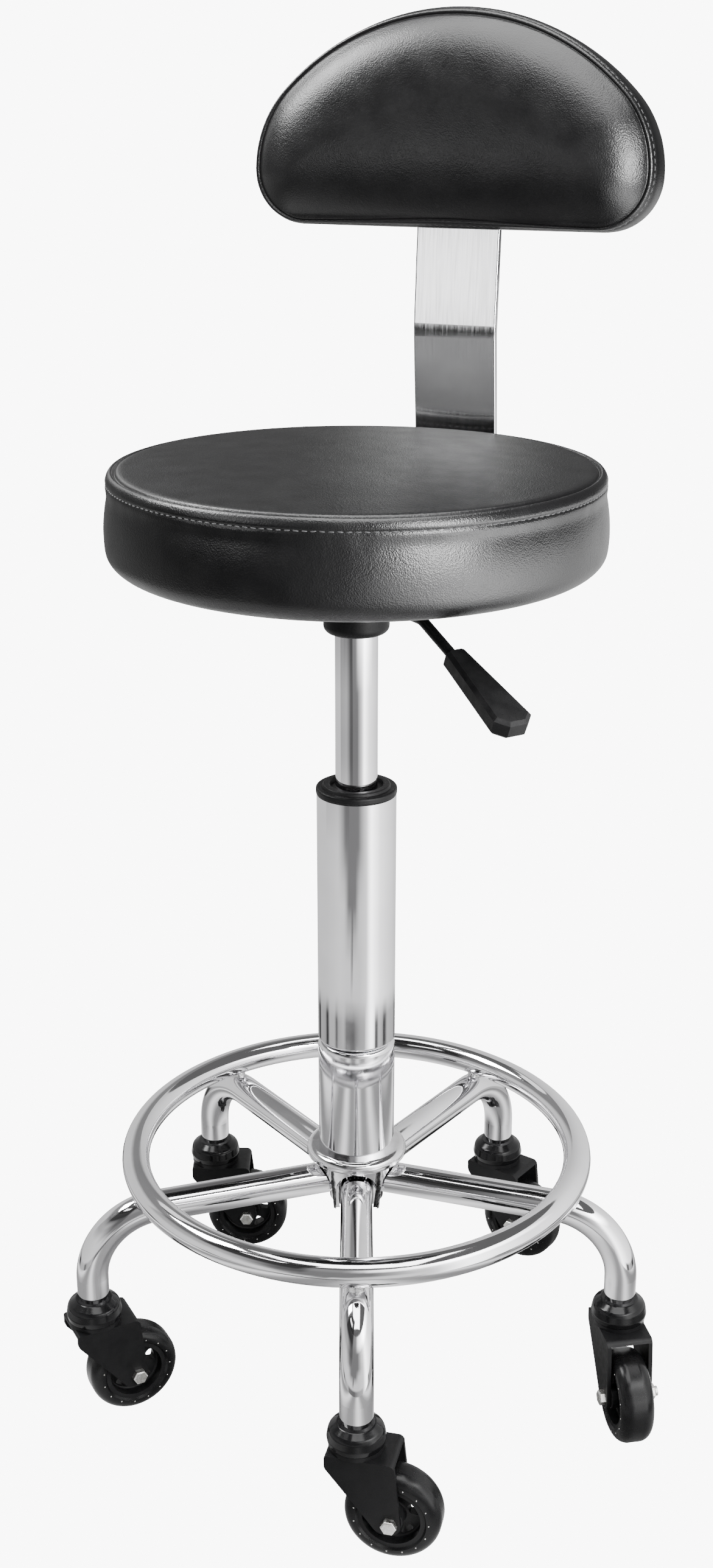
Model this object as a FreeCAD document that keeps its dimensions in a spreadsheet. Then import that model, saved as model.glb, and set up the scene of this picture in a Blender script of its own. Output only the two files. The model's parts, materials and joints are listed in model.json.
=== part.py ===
import FreeCAD, Part
import math
import os
import sys

import Sketcher

# Rolling stylist stool, in millimetres. +Z is up, the origin is on the column's axis at the floor,
# the sitter faces -Y and the backrest is at +Y. Every size is bound to the sheet of driving dimensions.

DIMENSIONS = [
    # Base: five bent legs in a cast hub, with a foot ring welded on them.
    ("leg_count", 5, "legs and casters"),
    ("base_turn", -66.5, "direction of the first leg, from +X"),
    ("leg_radius", 11, "leg tube, outside"),
    ("leg_wall", 1.5, "leg tube wall"),
    ("leg_height", 158.5, "axis of the level run of a leg"),
    ("leg_bend", 47, "bend radius of a leg"),
    ("leg_reach", 192, "column axis to the upright end of a leg"),
    ("leg_foot", 99.5, "height of the lower end of a leg"),
    ("ring_radius", 155.5, "foot ring, centre line"),
    ("ring_tube", 9.5, "foot ring tube, outside"),
    ("ring_wall", 1.2, "foot ring tube wall"),
    ("weld_radius", 5.5, "fillet weld between ring and leg"),
    # Hub.
    ("hub_low", 141, "lower rim of the hub"),
    ("hub_high", 184, "top of the hub flange"),
    ("hub_flange_radius", 35, "flange"),
    ("hub_flange_thick", 8, "flange"),
    ("hub_skirt_high_radius", 28.2, "skirt, outside, under the flange"),
    ("hub_skirt_low_radius", 25.7, "skirt, outside, lower rim"),
    ("hub_skirt_wall", 3, "skirt wall"),
    ("hub_core_radius", 19, "core that the legs butt on"),
    ("hub_bore_radius", 15, "bore for the column's spigot"),
    ("hub_slot_width", 28.4, "slot in the skirt for a leg"),
    ("hub_slot_high", 171.5, "top of the slot"),
    ("hub_crown", 5, "rounding of the flange's upper edge"),
    ("hub_lip", 1.5, "rounding of the flange's lower edge"),
    ("hub_neck", 2.5, "fillet between skirt and flange"),
    ("hub_core_gap", 0.5, "core left uncut by the slots"),
    ("leg_gap", 0.1, "gap between a leg and the hub's core"),
    ("cut_margin", 1, "how far a cut runs past what it cuts"),
    # Column and gas lift.
    ("column_high", 446, "top of the column"),
    ("column_seam", 266, "joint between the two chrome sleeves"),
    ("seam_gap", 0.8, "groove at that joint"),
    ("sleeve_lower_round", 3.6, "rolled top edge of the lower sleeve"),
    ("sleeve_upper_round", 2.4, "rolled bottom edge of the upper sleeve"),
    ("sleeve_radius", 26.5, "chrome sleeves, outside"),
    ("column_radius", 22.5, "column tube, outside"),
    ("column_wall", 1.5, "column tube wall"),
    ("column_floor", 6, "bottom of the column tube"),
    ("collar_radius", 27, "guide bush flange"),
    ("collar_thick", 7, "guide bush flange"),
    ("collar_edge", 1.5, "rounding of the flange's lower edge"),
    ("collar_shoulder", 2, "step down to the flange's outer edge"),
    ("collar_band", 4, "width of the flange outside the step"),
    ("collar_bevel", 1, "slope of the step"),
    ("collar_lip", 3, "width of the sunk ring round the gas cylinder"),
    ("collar_sink", 2.5, "depth of the sunk ring"),
    ("bush_length", 50, "guide bush inside the column"),
    ("gas_radius", 14, "gas cylinder, outside"),
    ("gas_wall", 1.5, "gas cylinder wall"),
    ("gas_low", 303, "lower end of the gas cylinder"),
    ("gas_high", 571, "upper end of the gas cylinder"),
    ("gas_end", 14, "gas cylinder end plugs"),
    ("gas_round", 1.5, "rounding of the gas cylinder's lower edge"),
    ("rod_radius", 5, "piston rod"),
    ("piston_low", 338, "underside of the piston"),
    ("piston_thick", 12, "piston"),
    ("bearing_thick", 7, "thrust bearing under the rod"),
    ("bearing_width", 8, "thrust bearing, bore to outside"),
    ("rod_collar", 4, "collar on the rod, proud of it"),
    ("rod_collar_thick", 3, "collar on the rod"),
    ("running_gap", 0.05, "radial gap of running fits"),
    ("part_gap", 0.3, "gap between other moving pieces"),
    # Release pin and lever.
    ("pin_radius", 3, "release pin"),
    ("pin_stand", 6.9, "release pin above the gas cylinder"),
    ("pin_depth", 10, "release pin inside the gas cylinder"),
    ("pin_travel", 3, "room under the release pin"),
    ("lever_turn", -36, "direction of the lever, from +X"),
    ("lever_height", 582, "axis of the lever's level run"),
    ("lever_radius", 3.3, "lever rod"),
    ("lever_pivot", 18.3, "column axis to lever pivot"),
    ("lever_inner", 3, "lever past the column axis"),
    ("lever_knee", 78, "where the lever turns down"),
    ("lever_bend", 14, "bend radius of the lever"),
    ("lever_reach", 124, "end of the lever's rod"),
    ("lever_drop", 22, "slope of the lever's outer run, degrees"),
    ("knob_start", 112, "inner end of the knob"),
    ("knob_length", 74, "knob"),
    ("knob_narrow", 7, "half width of the knob's inner end"),
    ("knob_wide", 13, "half width of the knob's outer end"),
    ("knob_thick", 12, "knob thickness"),
    ("knob_far_cut", 7, "cut corners of the knob's outer end"),
    ("knob_near_cut", 2.5, "cut corners of the knob's inner end"),
    ("knob_chamfer", 2.2, "chamfer round the knob's faces"),
    ("pivot_radius", 1.5, "lever pivot pin"),
    ("pivot_length", 18.6, "lever pivot pin"),
    # Socket and plate under the seat.
    ("socket_low", 556, "lower rim of the socket"),
    ("socket_radius", 21.4, "socket, outside"),
    ("socket_cavity", 15, "room round the release pin"),
    ("socket_round", 5, "rounding of the socket's lower edge"),
    ("socket_slot_start", 10, "column axis to the lever's slot"),
    ("socket_slot_length", 20, "slot for the lever"),
    ("socket_slot_drop", 2, "slot below the lever"),
    ("plate_half", 75, "half side of the seat plate"),
    ("plate_thick", 3, "seat plate"),
    ("plate_corner", 14, "corner radius of the seat plate"),
    ("screw_spread", 58, "seat screws from the centre lines"),
    ("screw_radius", 3, "seat screws and bolts"),
    ("screw_room", 0.5, "screws' clearance in the bar's upper holes"),
    ("head_radius", 6, "screw and bolt heads"),
    ("head_thick", 3.4, "screw and bolt heads"),
    ("bolt_near", 14, "inner end of the bar to its first bolt"),
    ("bolt_far", 36, "inner end of the bar to its second bolt"),
    # Seat.
    ("seat_low", 600, "underside of the seat"),
    ("seat_high", 666, "top of the seat"),
    ("seat_radius", 160, "seat, outside"),
    ("seat_top_round", 13, "upper edge of the seat"),
    ("seat_low_round", 24, "lower edge of the seat"),
    ("board_radius", 132, "seat board"),
    ("board_thick", 12, "boards"),
    # Backrest.
    ("bar_half_width", 30, "backrest bar"),
    ("bar_thick", 5, "backrest bar"),
    ("bar_start", 27, "inner end of the bar"),
    ("bar_back", 180, "where the bar turns up behind the seat"),
    ("bar_bend", 30, "bend radius behind the seat"),
    ("knee_back", 170, "knee of the bar, from the column axis"),
    ("knee_height", 727, "knee of the bar"),
    ("knee_bend", 60, "bend radius of the knee"),
    ("bar_tilt", 4, "tilt of the bar's upper run, degrees"),
    ("bar_high", 893, "top of the bar"),
    ("bar_round", 1.2, "rounding of the bar's long edges"),
    ("pad_low", 795, "lower edge of the backrest pad"),
    ("pad_high", 933.3, "top of the backrest pad"),
    ("pad_half_width", 142, "backrest pad"),
    ("pad_thick", 36, "backrest cushion in front of its board"),
    ("pad_slope", 45.5, "slope of the pad's shoulders, degrees"),
    ("pad_top_radius", 169, "arch of the pad"),
    ("pad_shoulder_radius", 72, "shoulders of the pad"),
    ("pad_corner_radius", 35.6, "lower corners of the pad"),
    ("pad_edge", 11, "rounding of the pad's front edge"),
    ("back_board_inset", 5, "backrest board inside the pad's outline"),
    ("back_board_thick", 9, "backrest board"),
    ("back_screw_near", 18, "top of the bar to the upper backrest screw"),
    ("back_screw_far", 68, "top of the bar to the lower backrest screw"),
    # Casters.
    ("wheel_radius", 31.75, "tyre"),
    ("wheel_half_width", 12, "tyre"),
    ("tyre_inner", 22, "seat of the tyre on the rim"),
    ("tyre_bead", 1.2, "depth of the tyre's bead"),
    ("tyre_round", 8.2, "rounding of the tread"),
    ("rim_half_width", 10.5, "rim where it holds the tyre"),
    ("rim_lip", 3, "rim under the tyre"),
    ("web_half", 3, "half thickness of the rim's web"),
    ("web_round", 1.5, "fillets at the web"),
    ("boss_radius", 8, "wheel boss"),
    ("boss_half_width", 13, "wheel boss"),
    ("boss_round", 1, "rounding of the boss"),
    ("slot_count", 5, "openings in the web"),
    ("slot_near", 10.3, "inner edge of an opening in the web"),
    ("slot_far", 16.8, "outer edge of an opening in the web"),
    ("slot_half_near", 2.6, "half width of an opening, inner edge"),
    ("slot_half_far", 6, "half width of an opening, outer edge"),
    ("slot_near_round", 1.2, "inner corners of an opening"),
    ("slot_far_round", 2, "outer corners of an opening"),
    ("axle_radius", 4, "axle bolt"),
    ("axle_head_radius", 5.4, "axle bolt head and nut, over the corners"),
    ("axle_head", 4.2, "axle bolt head and nut"),
    ("axle_head_round", 1.1, "rounding of the head and nut"),
    ("axle_thread", 1.8, "end of the axle bolt past its nut"),
    ("thread_depth", 0.6, "thread, smaller than the bolt"),
    ("trail", 25, "swivel axis to axle"),
    ("fork_half_gap", 13.3, "half the room inside the fork"),
    ("fork_plate", 2.8, "fork plate"),
    ("fork_high", 76.5, "top of the fork"),
    ("fork_front", 17.5, "fork ahead of the swivel axis"),
    ("fork_foot", 8, "radius of the fork's end round the axle"),
    ("fork_foot_round", 7.2, "rounding of the fork's end"),
    ("fork_brow", 6, "drop of the fork's front edge, and its rounding"),
    ("fork_brow_round", 1.5, "upper front corner of the fork"),
    ("fork_throat", 4, "fork's waist behind the swivel axis"),
    ("fork_throat_rise", 9, "fork's waist above the axle"),
    ("fork_throat_round", 18, "hollow of the fork's front edge"),
    ("fork_back", 2.5, "fork's back edge behind the axle, at the top"),
    ("fork_back_round", 4, "upper back corner of the fork"),
    ("fork_room_front", 60, "cut between the fork's plates, ahead"),
    ("fork_room_back", 80, "cut between the fork's plates, behind"),
    ("race_radius", 18, "bearing race on the fork"),
    ("race_thick", 3.2, "bearing race on the fork"),
    ("cap_radius", 19.2, "bearing cap, outside"),
    ("cap_high", 94.5, "top of the bearing cap"),
    ("cap_rim", 4, "upright band at the bearing cap's foot"),
    ("cap_foot", 0.8, "draft and rounding of the cap's foot"),
    ("cap_waist", 3, "rounding above the cap's foot"),
    ("cap_draft", 1.2, "cap's shoulder inside its foot"),
    ("cap_shoulder", 4, "cap's shoulder below its top"),
    ("cap_shoulder_round", 5, "cap's shoulder"),
    ("cap_neck", 1.5, "cap's top outside the leg"),
    ("cap_neck_round", 2, "cap's top"),
    ("stem_radius", 5, "caster stem"),
    ("stem_plug", 14, "caster stem inside the leg"),
    ("stem_head", 3, "rivet head under the fork's top"),
    ("stem_head_lip", 2, "rivet head, proud of the stem"),
    ("stem_bore", 15, "depth of the stem's bore in the fork, each way"),
    ("collar_set", 0.6, "silver collar inside the leg's outside"),
    ("collar_bead", 1.2, "silver collar under the leg"),
]
# Direction of each caster's wheel from its swivel axis, from +X.
CASTER_TURNS = [10, -56, -13, 23, 50]
# Share of a slot's half width that its corners are rounded by, just short of a half circle.
ARCH = 0.98
# Corners of a square, across and up or deep.
SQUARE = [(-1, -1), (1, -1), (1, 1), (-1, 1)]
CASTERS = range(len(CASTER_TURNS))
HEXAGON = 6
# Lengths closer than this are the same.
SAME = 0.01

doc = FreeCAD.newDocument("StylistStool")
sheet = doc.addObject("Spreadsheet::Sheet", "Sizes")


class Size:
    """A number together with the sheet formula that gives it."""

    def __init__(self, value, text):
        self.value = value
        self.text = text

    def __add__(self, other):
        other = as_size(other)
        return Size(self.value + other.value, f"({self.text} + {other.text})")

    def __sub__(self, other):
        other = as_size(other)
        return Size(self.value - other.value, f"({self.text} - {other.text})")

    def __mul__(self, other):
        other = as_size(other)
        return Size(self.value * other.value, f"({self.text} * {other.text})")

    def __truediv__(self, other):
        other = as_size(other)
        return Size(self.value / other.value, f"({self.text} / {other.text})")

    def __neg__(self):
        return Size(-self.value, f"(0 - {self.text})")


def as_size(number):
    return number if isinstance(number, Size) else Size(float(number), f"({number})")


def cosine(angle):
    return Size(math.cos(math.radians(angle.value)), f"cos({angle.text} * 1 deg)")


def sine(angle):
    return Size(math.sin(math.radians(angle.value)), f"sin({angle.text} * 1 deg)")


def fill_sheet():
    """Write the driving dimensions and return them as sizes."""
    sizes = {}
    for row, (alias, number, note) in enumerate(DIMENSIONS, start=1):
        sheet.set(f"A{row}", note)
        sheet.set(f"B{row}", str(number))
        sheet.setAlias(f"B{row}", alias)
        sizes[alias] = Size(float(number), f"Sizes.{alias}")
    doc.recompute()
    return sizes


class Dimensions:
    """The sheet's sizes as attributes."""

    def __init__(self, sizes):
        self.__dict__.update(sizes)


d = Dimensions(fill_sheet())


def bind(target, path, size):
    target.setExpression(path, as_size(size).text)


# ---------------------------------------------------------------- building blocks

def new_body(label):
    body = doc.addObject("PartDesign::Body", label)
    body.Label = label
    return body


def origin_feature(body, role):
    return next(f for f in body.Origin.OriginFeatures if f.Role == role)


def new_sketch(body, role, offset=None):
    """A sketch on one of the body's origin planes, moved along its normal by offset."""
    sketch = body.newObject("Sketcher::SketchObject", f"{body.Name}_sketch")
    sketch.AttachmentSupport = (origin_feature(body, role), [""])
    sketch.MapMode = "FlatFace"
    if offset is not None:
        bind(sketch, "AttachmentOffset.Base.z", offset)
    return sketch


def constrain(sketch, constraint, size):
    """Add a constraint whose value follows the sheet."""
    index = sketch.addConstraint(constraint)
    name = f"c{index}"
    sketch.renameConstraint(index, name)
    bind(sketch, f"Constraints.{name}", size)


def pin_point(sketch, geometry, point, across, up):
    constrain(sketch, Sketcher.Constraint("DistanceX", -1, 1, geometry, point, across.value), across)
    constrain(sketch, Sketcher.Constraint("DistanceY", -1, 1, geometry, point, up.value), up)


def add_circle(sketch, across, up, radius):
    across, up, radius = as_size(across), as_size(up), as_size(radius)
    centre = FreeCAD.Vector(across.value, up.value, 0)
    geometry = sketch.addGeometry(Part.Circle(centre, FreeCAD.Vector(0, 0, 1), radius.value))
    pin_point(sketch, geometry, 3, across, up)
    constrain(sketch, Sketcher.Constraint("Radius", geometry, radius.value), radius)


def round_corner(before, corner, after, radius):
    """Tangent points and centre of an arc that rounds a corner, and whether it turns left."""
    into = (corner - before).normalize()
    out = (after - corner).normalize()
    turn = into.getAngle(out)
    reach = radius * math.tan(turn / 2)
    left = into.cross(out).z > 0
    side = FreeCAD.Vector(-into.y, into.x, 0) * (radius if left else -radius)
    start = corner - into * reach
    return start, corner + out * reach, start + side, left


def add_outline(sketch, corners, closed=True):
    """Straight runs through corners (across, up) or (across, up, radius), with tangent arcs."""
    corners = [[as_size(part) for part in corner] for corner in corners]
    spots = [FreeCAD.Vector(corner[0].value, corner[1].value, 0) for corner in corners]
    count = len(corners)
    starts, ends, arcs = list(spots), list(spots), {}
    for i, corner in enumerate(corners):
        if len(corner) == 3:
            before, after = spots[i - 1], spots[(i + 1) % count]
            ends[i], starts[i], centre, left = round_corner(before, spots[i], after, corner[2].value)
            arcs[i] = (centre, left)
    runs = {}
    for i in range(count if closed else count - 1):
        runs[i] = sketch.addGeometry(Part.LineSegment(starts[i], ends[(i + 1) % count]))
    for i, corner in enumerate(corners):
        if i in arcs:
            join_with_arc(sketch, runs[(i - 1) % count], runs[i], corner, spots[i],
                          (ends[i], starts[i]), arcs[i])
        elif closed or 0 < i < count - 1:
            before = runs[(i - 1) % count]
            sketch.addConstraint(Sketcher.Constraint("Coincident", before, 2, runs[i], 1))
            pin_point(sketch, runs[i], 1, corner[0], corner[1])
    if not closed:
        pin_point(sketch, runs[0], 1, corners[0][0], corners[0][1])
        pin_point(sketch, runs[count - 2], 2, corners[-1][0], corners[-1][1])


def join_with_arc(sketch, before, after, corner, spot, touching, arc):
    """Round the corner between two runs, and hold the corner itself as a construction point."""
    centre, left = arc
    first, last = touching if left else touching[::-1]
    angles = [math.atan2(p.y - centre.y, p.x - centre.x) for p in (first, last)]
    circle = Part.Circle(centre, FreeCAD.Vector(0, 0, 1), corner[2].value)
    geometry = sketch.addGeometry(Part.ArcOfCircle(circle, angles[0], angles[1]))
    entry, leave = (1, 2) if left else (2, 1)
    sketch.addConstraint(Sketcher.Constraint("Tangent", before, 2, geometry, entry))
    sketch.addConstraint(Sketcher.Constraint("Tangent", geometry, leave, after, 1))
    constrain(sketch, Sketcher.Constraint("Radius", geometry, corner[2].value), corner[2])
    point = sketch.addGeometry(Part.Point(spot), True)
    sketch.addConstraint(Sketcher.Constraint("PointOnObject", point, 1, before))
    sketch.addConstraint(Sketcher.Constraint("PointOnObject", point, 1, after))
    pin_point(sketch, point, 1, corner[0], corner[1])


def add_pad(body, sketch, length, symmetric=False, backward=False):
    pad = body.newObject("PartDesign::Pad", f"{body.Name}_pad")
    pad.Profile = sketch
    bind(pad, "Length", length)
    pad.SideType = "Symmetric" if symmetric else "One side"
    pad.Reversed = backward
    return pad


def add_pocket(body, sketch, length, symmetric=False, backward=False):
    pocket = body.newObject("PartDesign::Pocket", f"{body.Name}_pocket")
    pocket.Profile = sketch
    bind(pocket, "Length", length)
    pocket.SideType = "Symmetric" if symmetric else "One side"
    pocket.Reversed = backward
    return pocket


def add_revolution(body, sketch):
    """Turn a sketch about its own upright axis."""
    turned = body.newObject("PartDesign::Revolution", f"{body.Name}_revolution")
    turned.Profile = sketch
    turned.ReferenceAxis = (sketch, ["V_Axis"])
    turned.Angle = 360
    return turned


def add_pipe(body, profile, path):
    pipe = body.newObject("PartDesign::AdditivePipe", f"{body.Name}_pipe")
    pipe.Profile = profile
    pipe.Spine = (path, [f"Edge{i + 1}" for i in range(len(path.Shape.Edges))])
    return pipe


def add_pattern(body, feature, count, role="Z_Axis"):
    pattern = body.newObject("PartDesign::PolarPattern", f"{body.Name}_pattern")
    pattern.Originals = [feature]
    pattern.Axis = (origin_feature(body, role), [""])
    pattern.Angle = 360
    bind(pattern, "Occurrences", count)
    body.Tip = pattern
    return pattern


def trim_edges(body, kind, feature, size, wanted):
    """Put a Fillet or a Chamfer on the edges of a feature for which wanted(edge) is true."""
    doc.recompute()
    names = [f"Edge{i + 1}" for i, edge in enumerate(feature.Shape.Edges) if wanted(edge)]
    trimmed = body.newObject(f"PartDesign::{kind}", f"{body.Name}_{kind.lower()}")
    trimmed.Base = (feature, names)
    bind(trimmed, "Radius" if kind == "Fillet" else "Size", size)
    return trimmed


def place(target, across=0, deep=0, up=0, turn=0):
    """Put an object at a point and turn it about +Z, all following the sheet."""
    target.Placement = FreeCAD.Placement(FreeCAD.Vector(0, 0, 0), FreeCAD.Vector(0, 0, 1), 1)
    bind(target, "Placement.Rotation.Angle", turn)
    bind(target, "Placement.Base.x", across)
    bind(target, "Placement.Base.y", deep)
    bind(target, "Placement.Base.z", up)
    return target


def turned_body(label, corners):
    """A body of revolution about +Z from (radius, height) corners."""
    body = new_body(label)
    sketch = new_sketch(body, "XZ_Plane")
    add_outline(sketch, corners)
    add_revolution(body, sketch)
    return body


def cylinder(label, radius, low, height, across=0, deep=0):
    """An upright Part cylinder, for screws and pins."""
    solid = doc.addObject("Part::Cylinder", label)
    solid.Label = label
    bind(solid, "Radius", radius)
    bind(solid, "Height", height)
    bind(solid, "Placement.Base.x", across)
    bind(solid, "Placement.Base.y", deep)
    bind(solid, "Placement.Base.z", low)
    return solid


def joined(label, solids):
    group = doc.addObject("Part::MultiFuse", label)
    group.Label = label
    group.Shapes = solids
    return group


nodes = []


def keep(target):
    """Note an object as one of the stool's sub-parts."""
    nodes.append(target)
    return target


# ---------------------------------------------------------------- base

def leg_turn(k):
    """Direction of leg k, from +X."""
    return d.base_turn + as_size(360) / d.leg_count * k


def make_hub():
    """Flange, slotted skirt and core of the cast hub."""
    under_flange = d.hub_high - d.hub_flange_thick
    skirt_in_high = d.hub_skirt_high_radius - d.hub_skirt_wall
    skirt_in_low = d.hub_skirt_low_radius - d.hub_skirt_wall
    hub = turned_body("hub", [
        (d.hub_bore_radius, d.hub_low), (d.hub_core_radius, d.hub_low),
        (d.hub_core_radius, under_flange), (skirt_in_high, under_flange),
        (skirt_in_low, d.hub_low), (d.hub_skirt_low_radius, d.hub_low),
        (d.hub_skirt_high_radius, under_flange, d.hub_neck),
        (d.hub_flange_radius, under_flange, d.hub_lip),
        (d.hub_flange_radius, d.hub_high, d.hub_crown), (d.hub_bore_radius, d.hub_high)])
    slot = new_sketch(hub, "YZ_Plane", d.hub_core_radius + d.hub_core_gap)
    half = d.hub_slot_width / 2
    arch = half * ARCH
    below = d.hub_low - d.cut_margin
    add_outline(slot, [(-half, below), (half, below),
                       (half, d.hub_slot_high, arch), (-half, d.hub_slot_high, arch)])
    cut = add_pocket(hub, slot, d.hub_flange_radius, backward=True)
    add_pattern(hub, cut, d.leg_count)
    return keep(place(hub, turn=d.base_turn))


def swept_leg(label, k, start, radii):
    """A leg's bent shape between circles of the given radii, from start to the caster."""
    leg = new_body(label)
    path = new_sketch(leg, "XZ_Plane")
    add_outline(path, [(start, d.leg_height), (d.leg_reach, d.leg_height, d.leg_bend),
                       (d.leg_reach, d.leg_foot)], closed=False)
    section = new_sketch(leg, "YZ_Plane", start)
    for radius in radii:
        add_circle(section, 0, d.leg_height, radius)
    doc.recompute()
    add_pipe(leg, section, path)
    return place(leg, turn=leg_turn(k))


def make_leg(k):
    """One bent tube, from the hub's core to the caster."""
    start = d.hub_core_radius + d.leg_gap
    keep(swept_leg(f"leg_{k + 1}", k, start, [d.leg_radius, d.leg_radius - d.leg_wall]))


def torus(label, radius, tube):
    solid = doc.addObject("Part::Torus", label)
    bind(solid, "Radius1", radius)
    bind(solid, "Radius2", tube)
    bind(solid, "Placement.Base.z", d.leg_height + d.leg_radius + d.ring_tube)
    return solid


def make_foot_ring():
    ring = doc.addObject("Part::Cut", "foot_ring")
    ring.Label = "foot_ring"
    ring.Base = torus("ring_outside", d.ring_radius, d.ring_tube)
    ring.Tool = torus("ring_inside", d.ring_radius, d.ring_tube - d.ring_wall)
    return keep(ring)


def make_ring_welds():
    """Weld metal in the corners where the ring lies on the legs."""
    beads, solid_legs = [], []
    for k in CASTERS:
        across = d.ring_radius * cosine(leg_turn(k))
        deep = d.ring_radius * sine(leg_turn(k))
        beads.append(cylinder(f"bead_{k + 1}", d.weld_radius, d.leg_height,
                              d.leg_radius + d.ring_tube, across, deep))
        solid_legs.append(swept_leg(f"leg_core_{k + 1}", k, d.hub_core_radius, [d.leg_radius]))
    welds = doc.addObject("Part::Cut", "ring_welds")
    welds.Label = "ring_welds"
    welds.Base = joined("weld_beads", beads)
    welds.Tool = joined("weld_voids", solid_legs + [torus("ring_solid", d.ring_radius, d.ring_tube)])
    return keep(welds)


def make_column():
    """Column tube with its spigot, the chrome sleeves on it, guide bush and thrust bearing."""
    inside = d.column_radius - d.column_wall
    floor = d.hub_high + d.column_floor
    keep(turned_body("column_tube", [
        (0, d.hub_low), (d.hub_bore_radius, d.hub_low), (d.hub_bore_radius, d.hub_high),
        (d.column_radius, d.hub_high), (d.column_radius, d.column_high),
        (inside, d.column_high), (inside, floor), (0, floor)]))
    below_seam = d.column_seam - d.seam_gap / 2
    above_seam = d.column_seam + d.seam_gap / 2
    keep(turned_body("column_sleeve_lower", [
        (d.column_radius, d.hub_high), (d.sleeve_radius, d.hub_high),
        (d.sleeve_radius, below_seam, d.sleeve_lower_round), (d.column_radius, below_seam)]))
    keep(turned_body("column_sleeve_upper", [
        (d.column_radius, above_seam), (d.sleeve_radius, above_seam, d.sleeve_upper_round),
        (d.sleeve_radius, d.column_high), (d.column_radius, d.column_high)]))
    bore = d.gas_radius + d.running_gap
    top = d.column_high + d.collar_thick
    shoulder = top - d.collar_shoulder
    band = d.collar_radius - d.collar_band
    sunk = top - d.collar_sink
    keep(turned_body("collar_bush", [
        (bore, d.column_high - d.bush_length), (inside, d.column_high - d.bush_length),
        (inside, d.column_high), (d.collar_radius, d.column_high, d.collar_edge),
        (d.collar_radius, shoulder, d.collar_edge), (band, shoulder),
        (band - d.collar_bevel, top, d.collar_bevel),
        (bore + d.collar_lip + d.collar_bevel, top, d.collar_bevel), (bore + d.collar_lip, sunk),
        (bore, sunk)]))
    bore = d.rod_radius + d.running_gap
    keep(turned_body("thrust_bearing", [
        (bore, floor), (d.rod_radius + d.bearing_width, floor),
        (d.rod_radius + d.bearing_width, floor + d.bearing_thick), (bore, floor + d.bearing_thick)]))


def make_spindle():
    """Piston rod and piston, which turn on the thrust bearing."""
    below = d.hub_high + d.column_floor + d.part_gap
    on_bearing = below + d.bearing_thick
    collar = d.rod_radius + d.rod_collar
    keep(turned_body("piston_rod", [
        (0, below), (d.rod_radius, below), (d.rod_radius, on_bearing), (collar, on_bearing),
        (collar, on_bearing + d.rod_collar_thick), (d.rod_radius, on_bearing + d.rod_collar_thick),
        (d.rod_radius, d.piston_low), (0, d.piston_low)]))
    radius = d.gas_radius - d.gas_wall - d.running_gap
    high = d.piston_low + d.piston_thick
    keep(turned_body("piston", [(0, d.piston_low), (radius, d.piston_low), (radius, high), (0, high)]))


# ---------------------------------------------------------------- seat

def make_gas_cylinder():
    inside = d.gas_radius - d.gas_wall
    rod_bore = d.rod_radius + d.running_gap
    pin_bore = d.pin_radius + d.running_gap
    pin_floor = d.gas_high - d.pin_depth - d.pin_travel
    keep(turned_body("gas_cylinder", [
        (rod_bore, d.gas_low), (d.gas_radius, d.gas_low, d.gas_round), (d.gas_radius, d.gas_high),
        (pin_bore, d.gas_high), (pin_bore, pin_floor), (0, pin_floor),
        (0, d.gas_high - d.gas_end), (inside, d.gas_high - d.gas_end),
        (inside, d.gas_low + d.gas_end), (rod_bore, d.gas_low + d.gas_end)]))


def make_release_pin():
    pin_low = d.gas_high - d.pin_depth
    keep(cylinder("release_pin", d.pin_radius, pin_low, d.pin_depth + d.pin_stand))


def make_socket():
    """Housing that grips the gas cylinder, with a slot for the lever and a bore for its pivot."""
    high = d.seat_low - d.plate_thick
    socket = turned_body("taper_socket", [
        (d.gas_radius, d.socket_low), (d.socket_radius, d.socket_low, d.socket_round),
        (d.socket_radius, high), (d.socket_cavity, high), (d.socket_cavity, d.gas_high),
        (d.gas_radius, d.gas_high)])
    slot = new_sketch(socket, "YZ_Plane", d.socket_slot_start)
    half = d.lever_radius + d.part_gap
    slot_low = d.lever_height - d.lever_radius - d.socket_slot_drop
    slot_high = high + d.cut_margin
    add_outline(slot, [(-half, slot_low), (half, slot_low), (half, slot_high), (-half, slot_high)])
    add_pocket(socket, slot, d.socket_slot_length, backward=True)
    bore = new_sketch(socket, "XZ_Plane")
    add_circle(bore, d.lever_pivot, d.lever_height, d.pivot_radius)
    add_pocket(socket, bore, d.socket_radius, symmetric=True)
    return keep(place(socket, turn=d.lever_turn))


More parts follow.
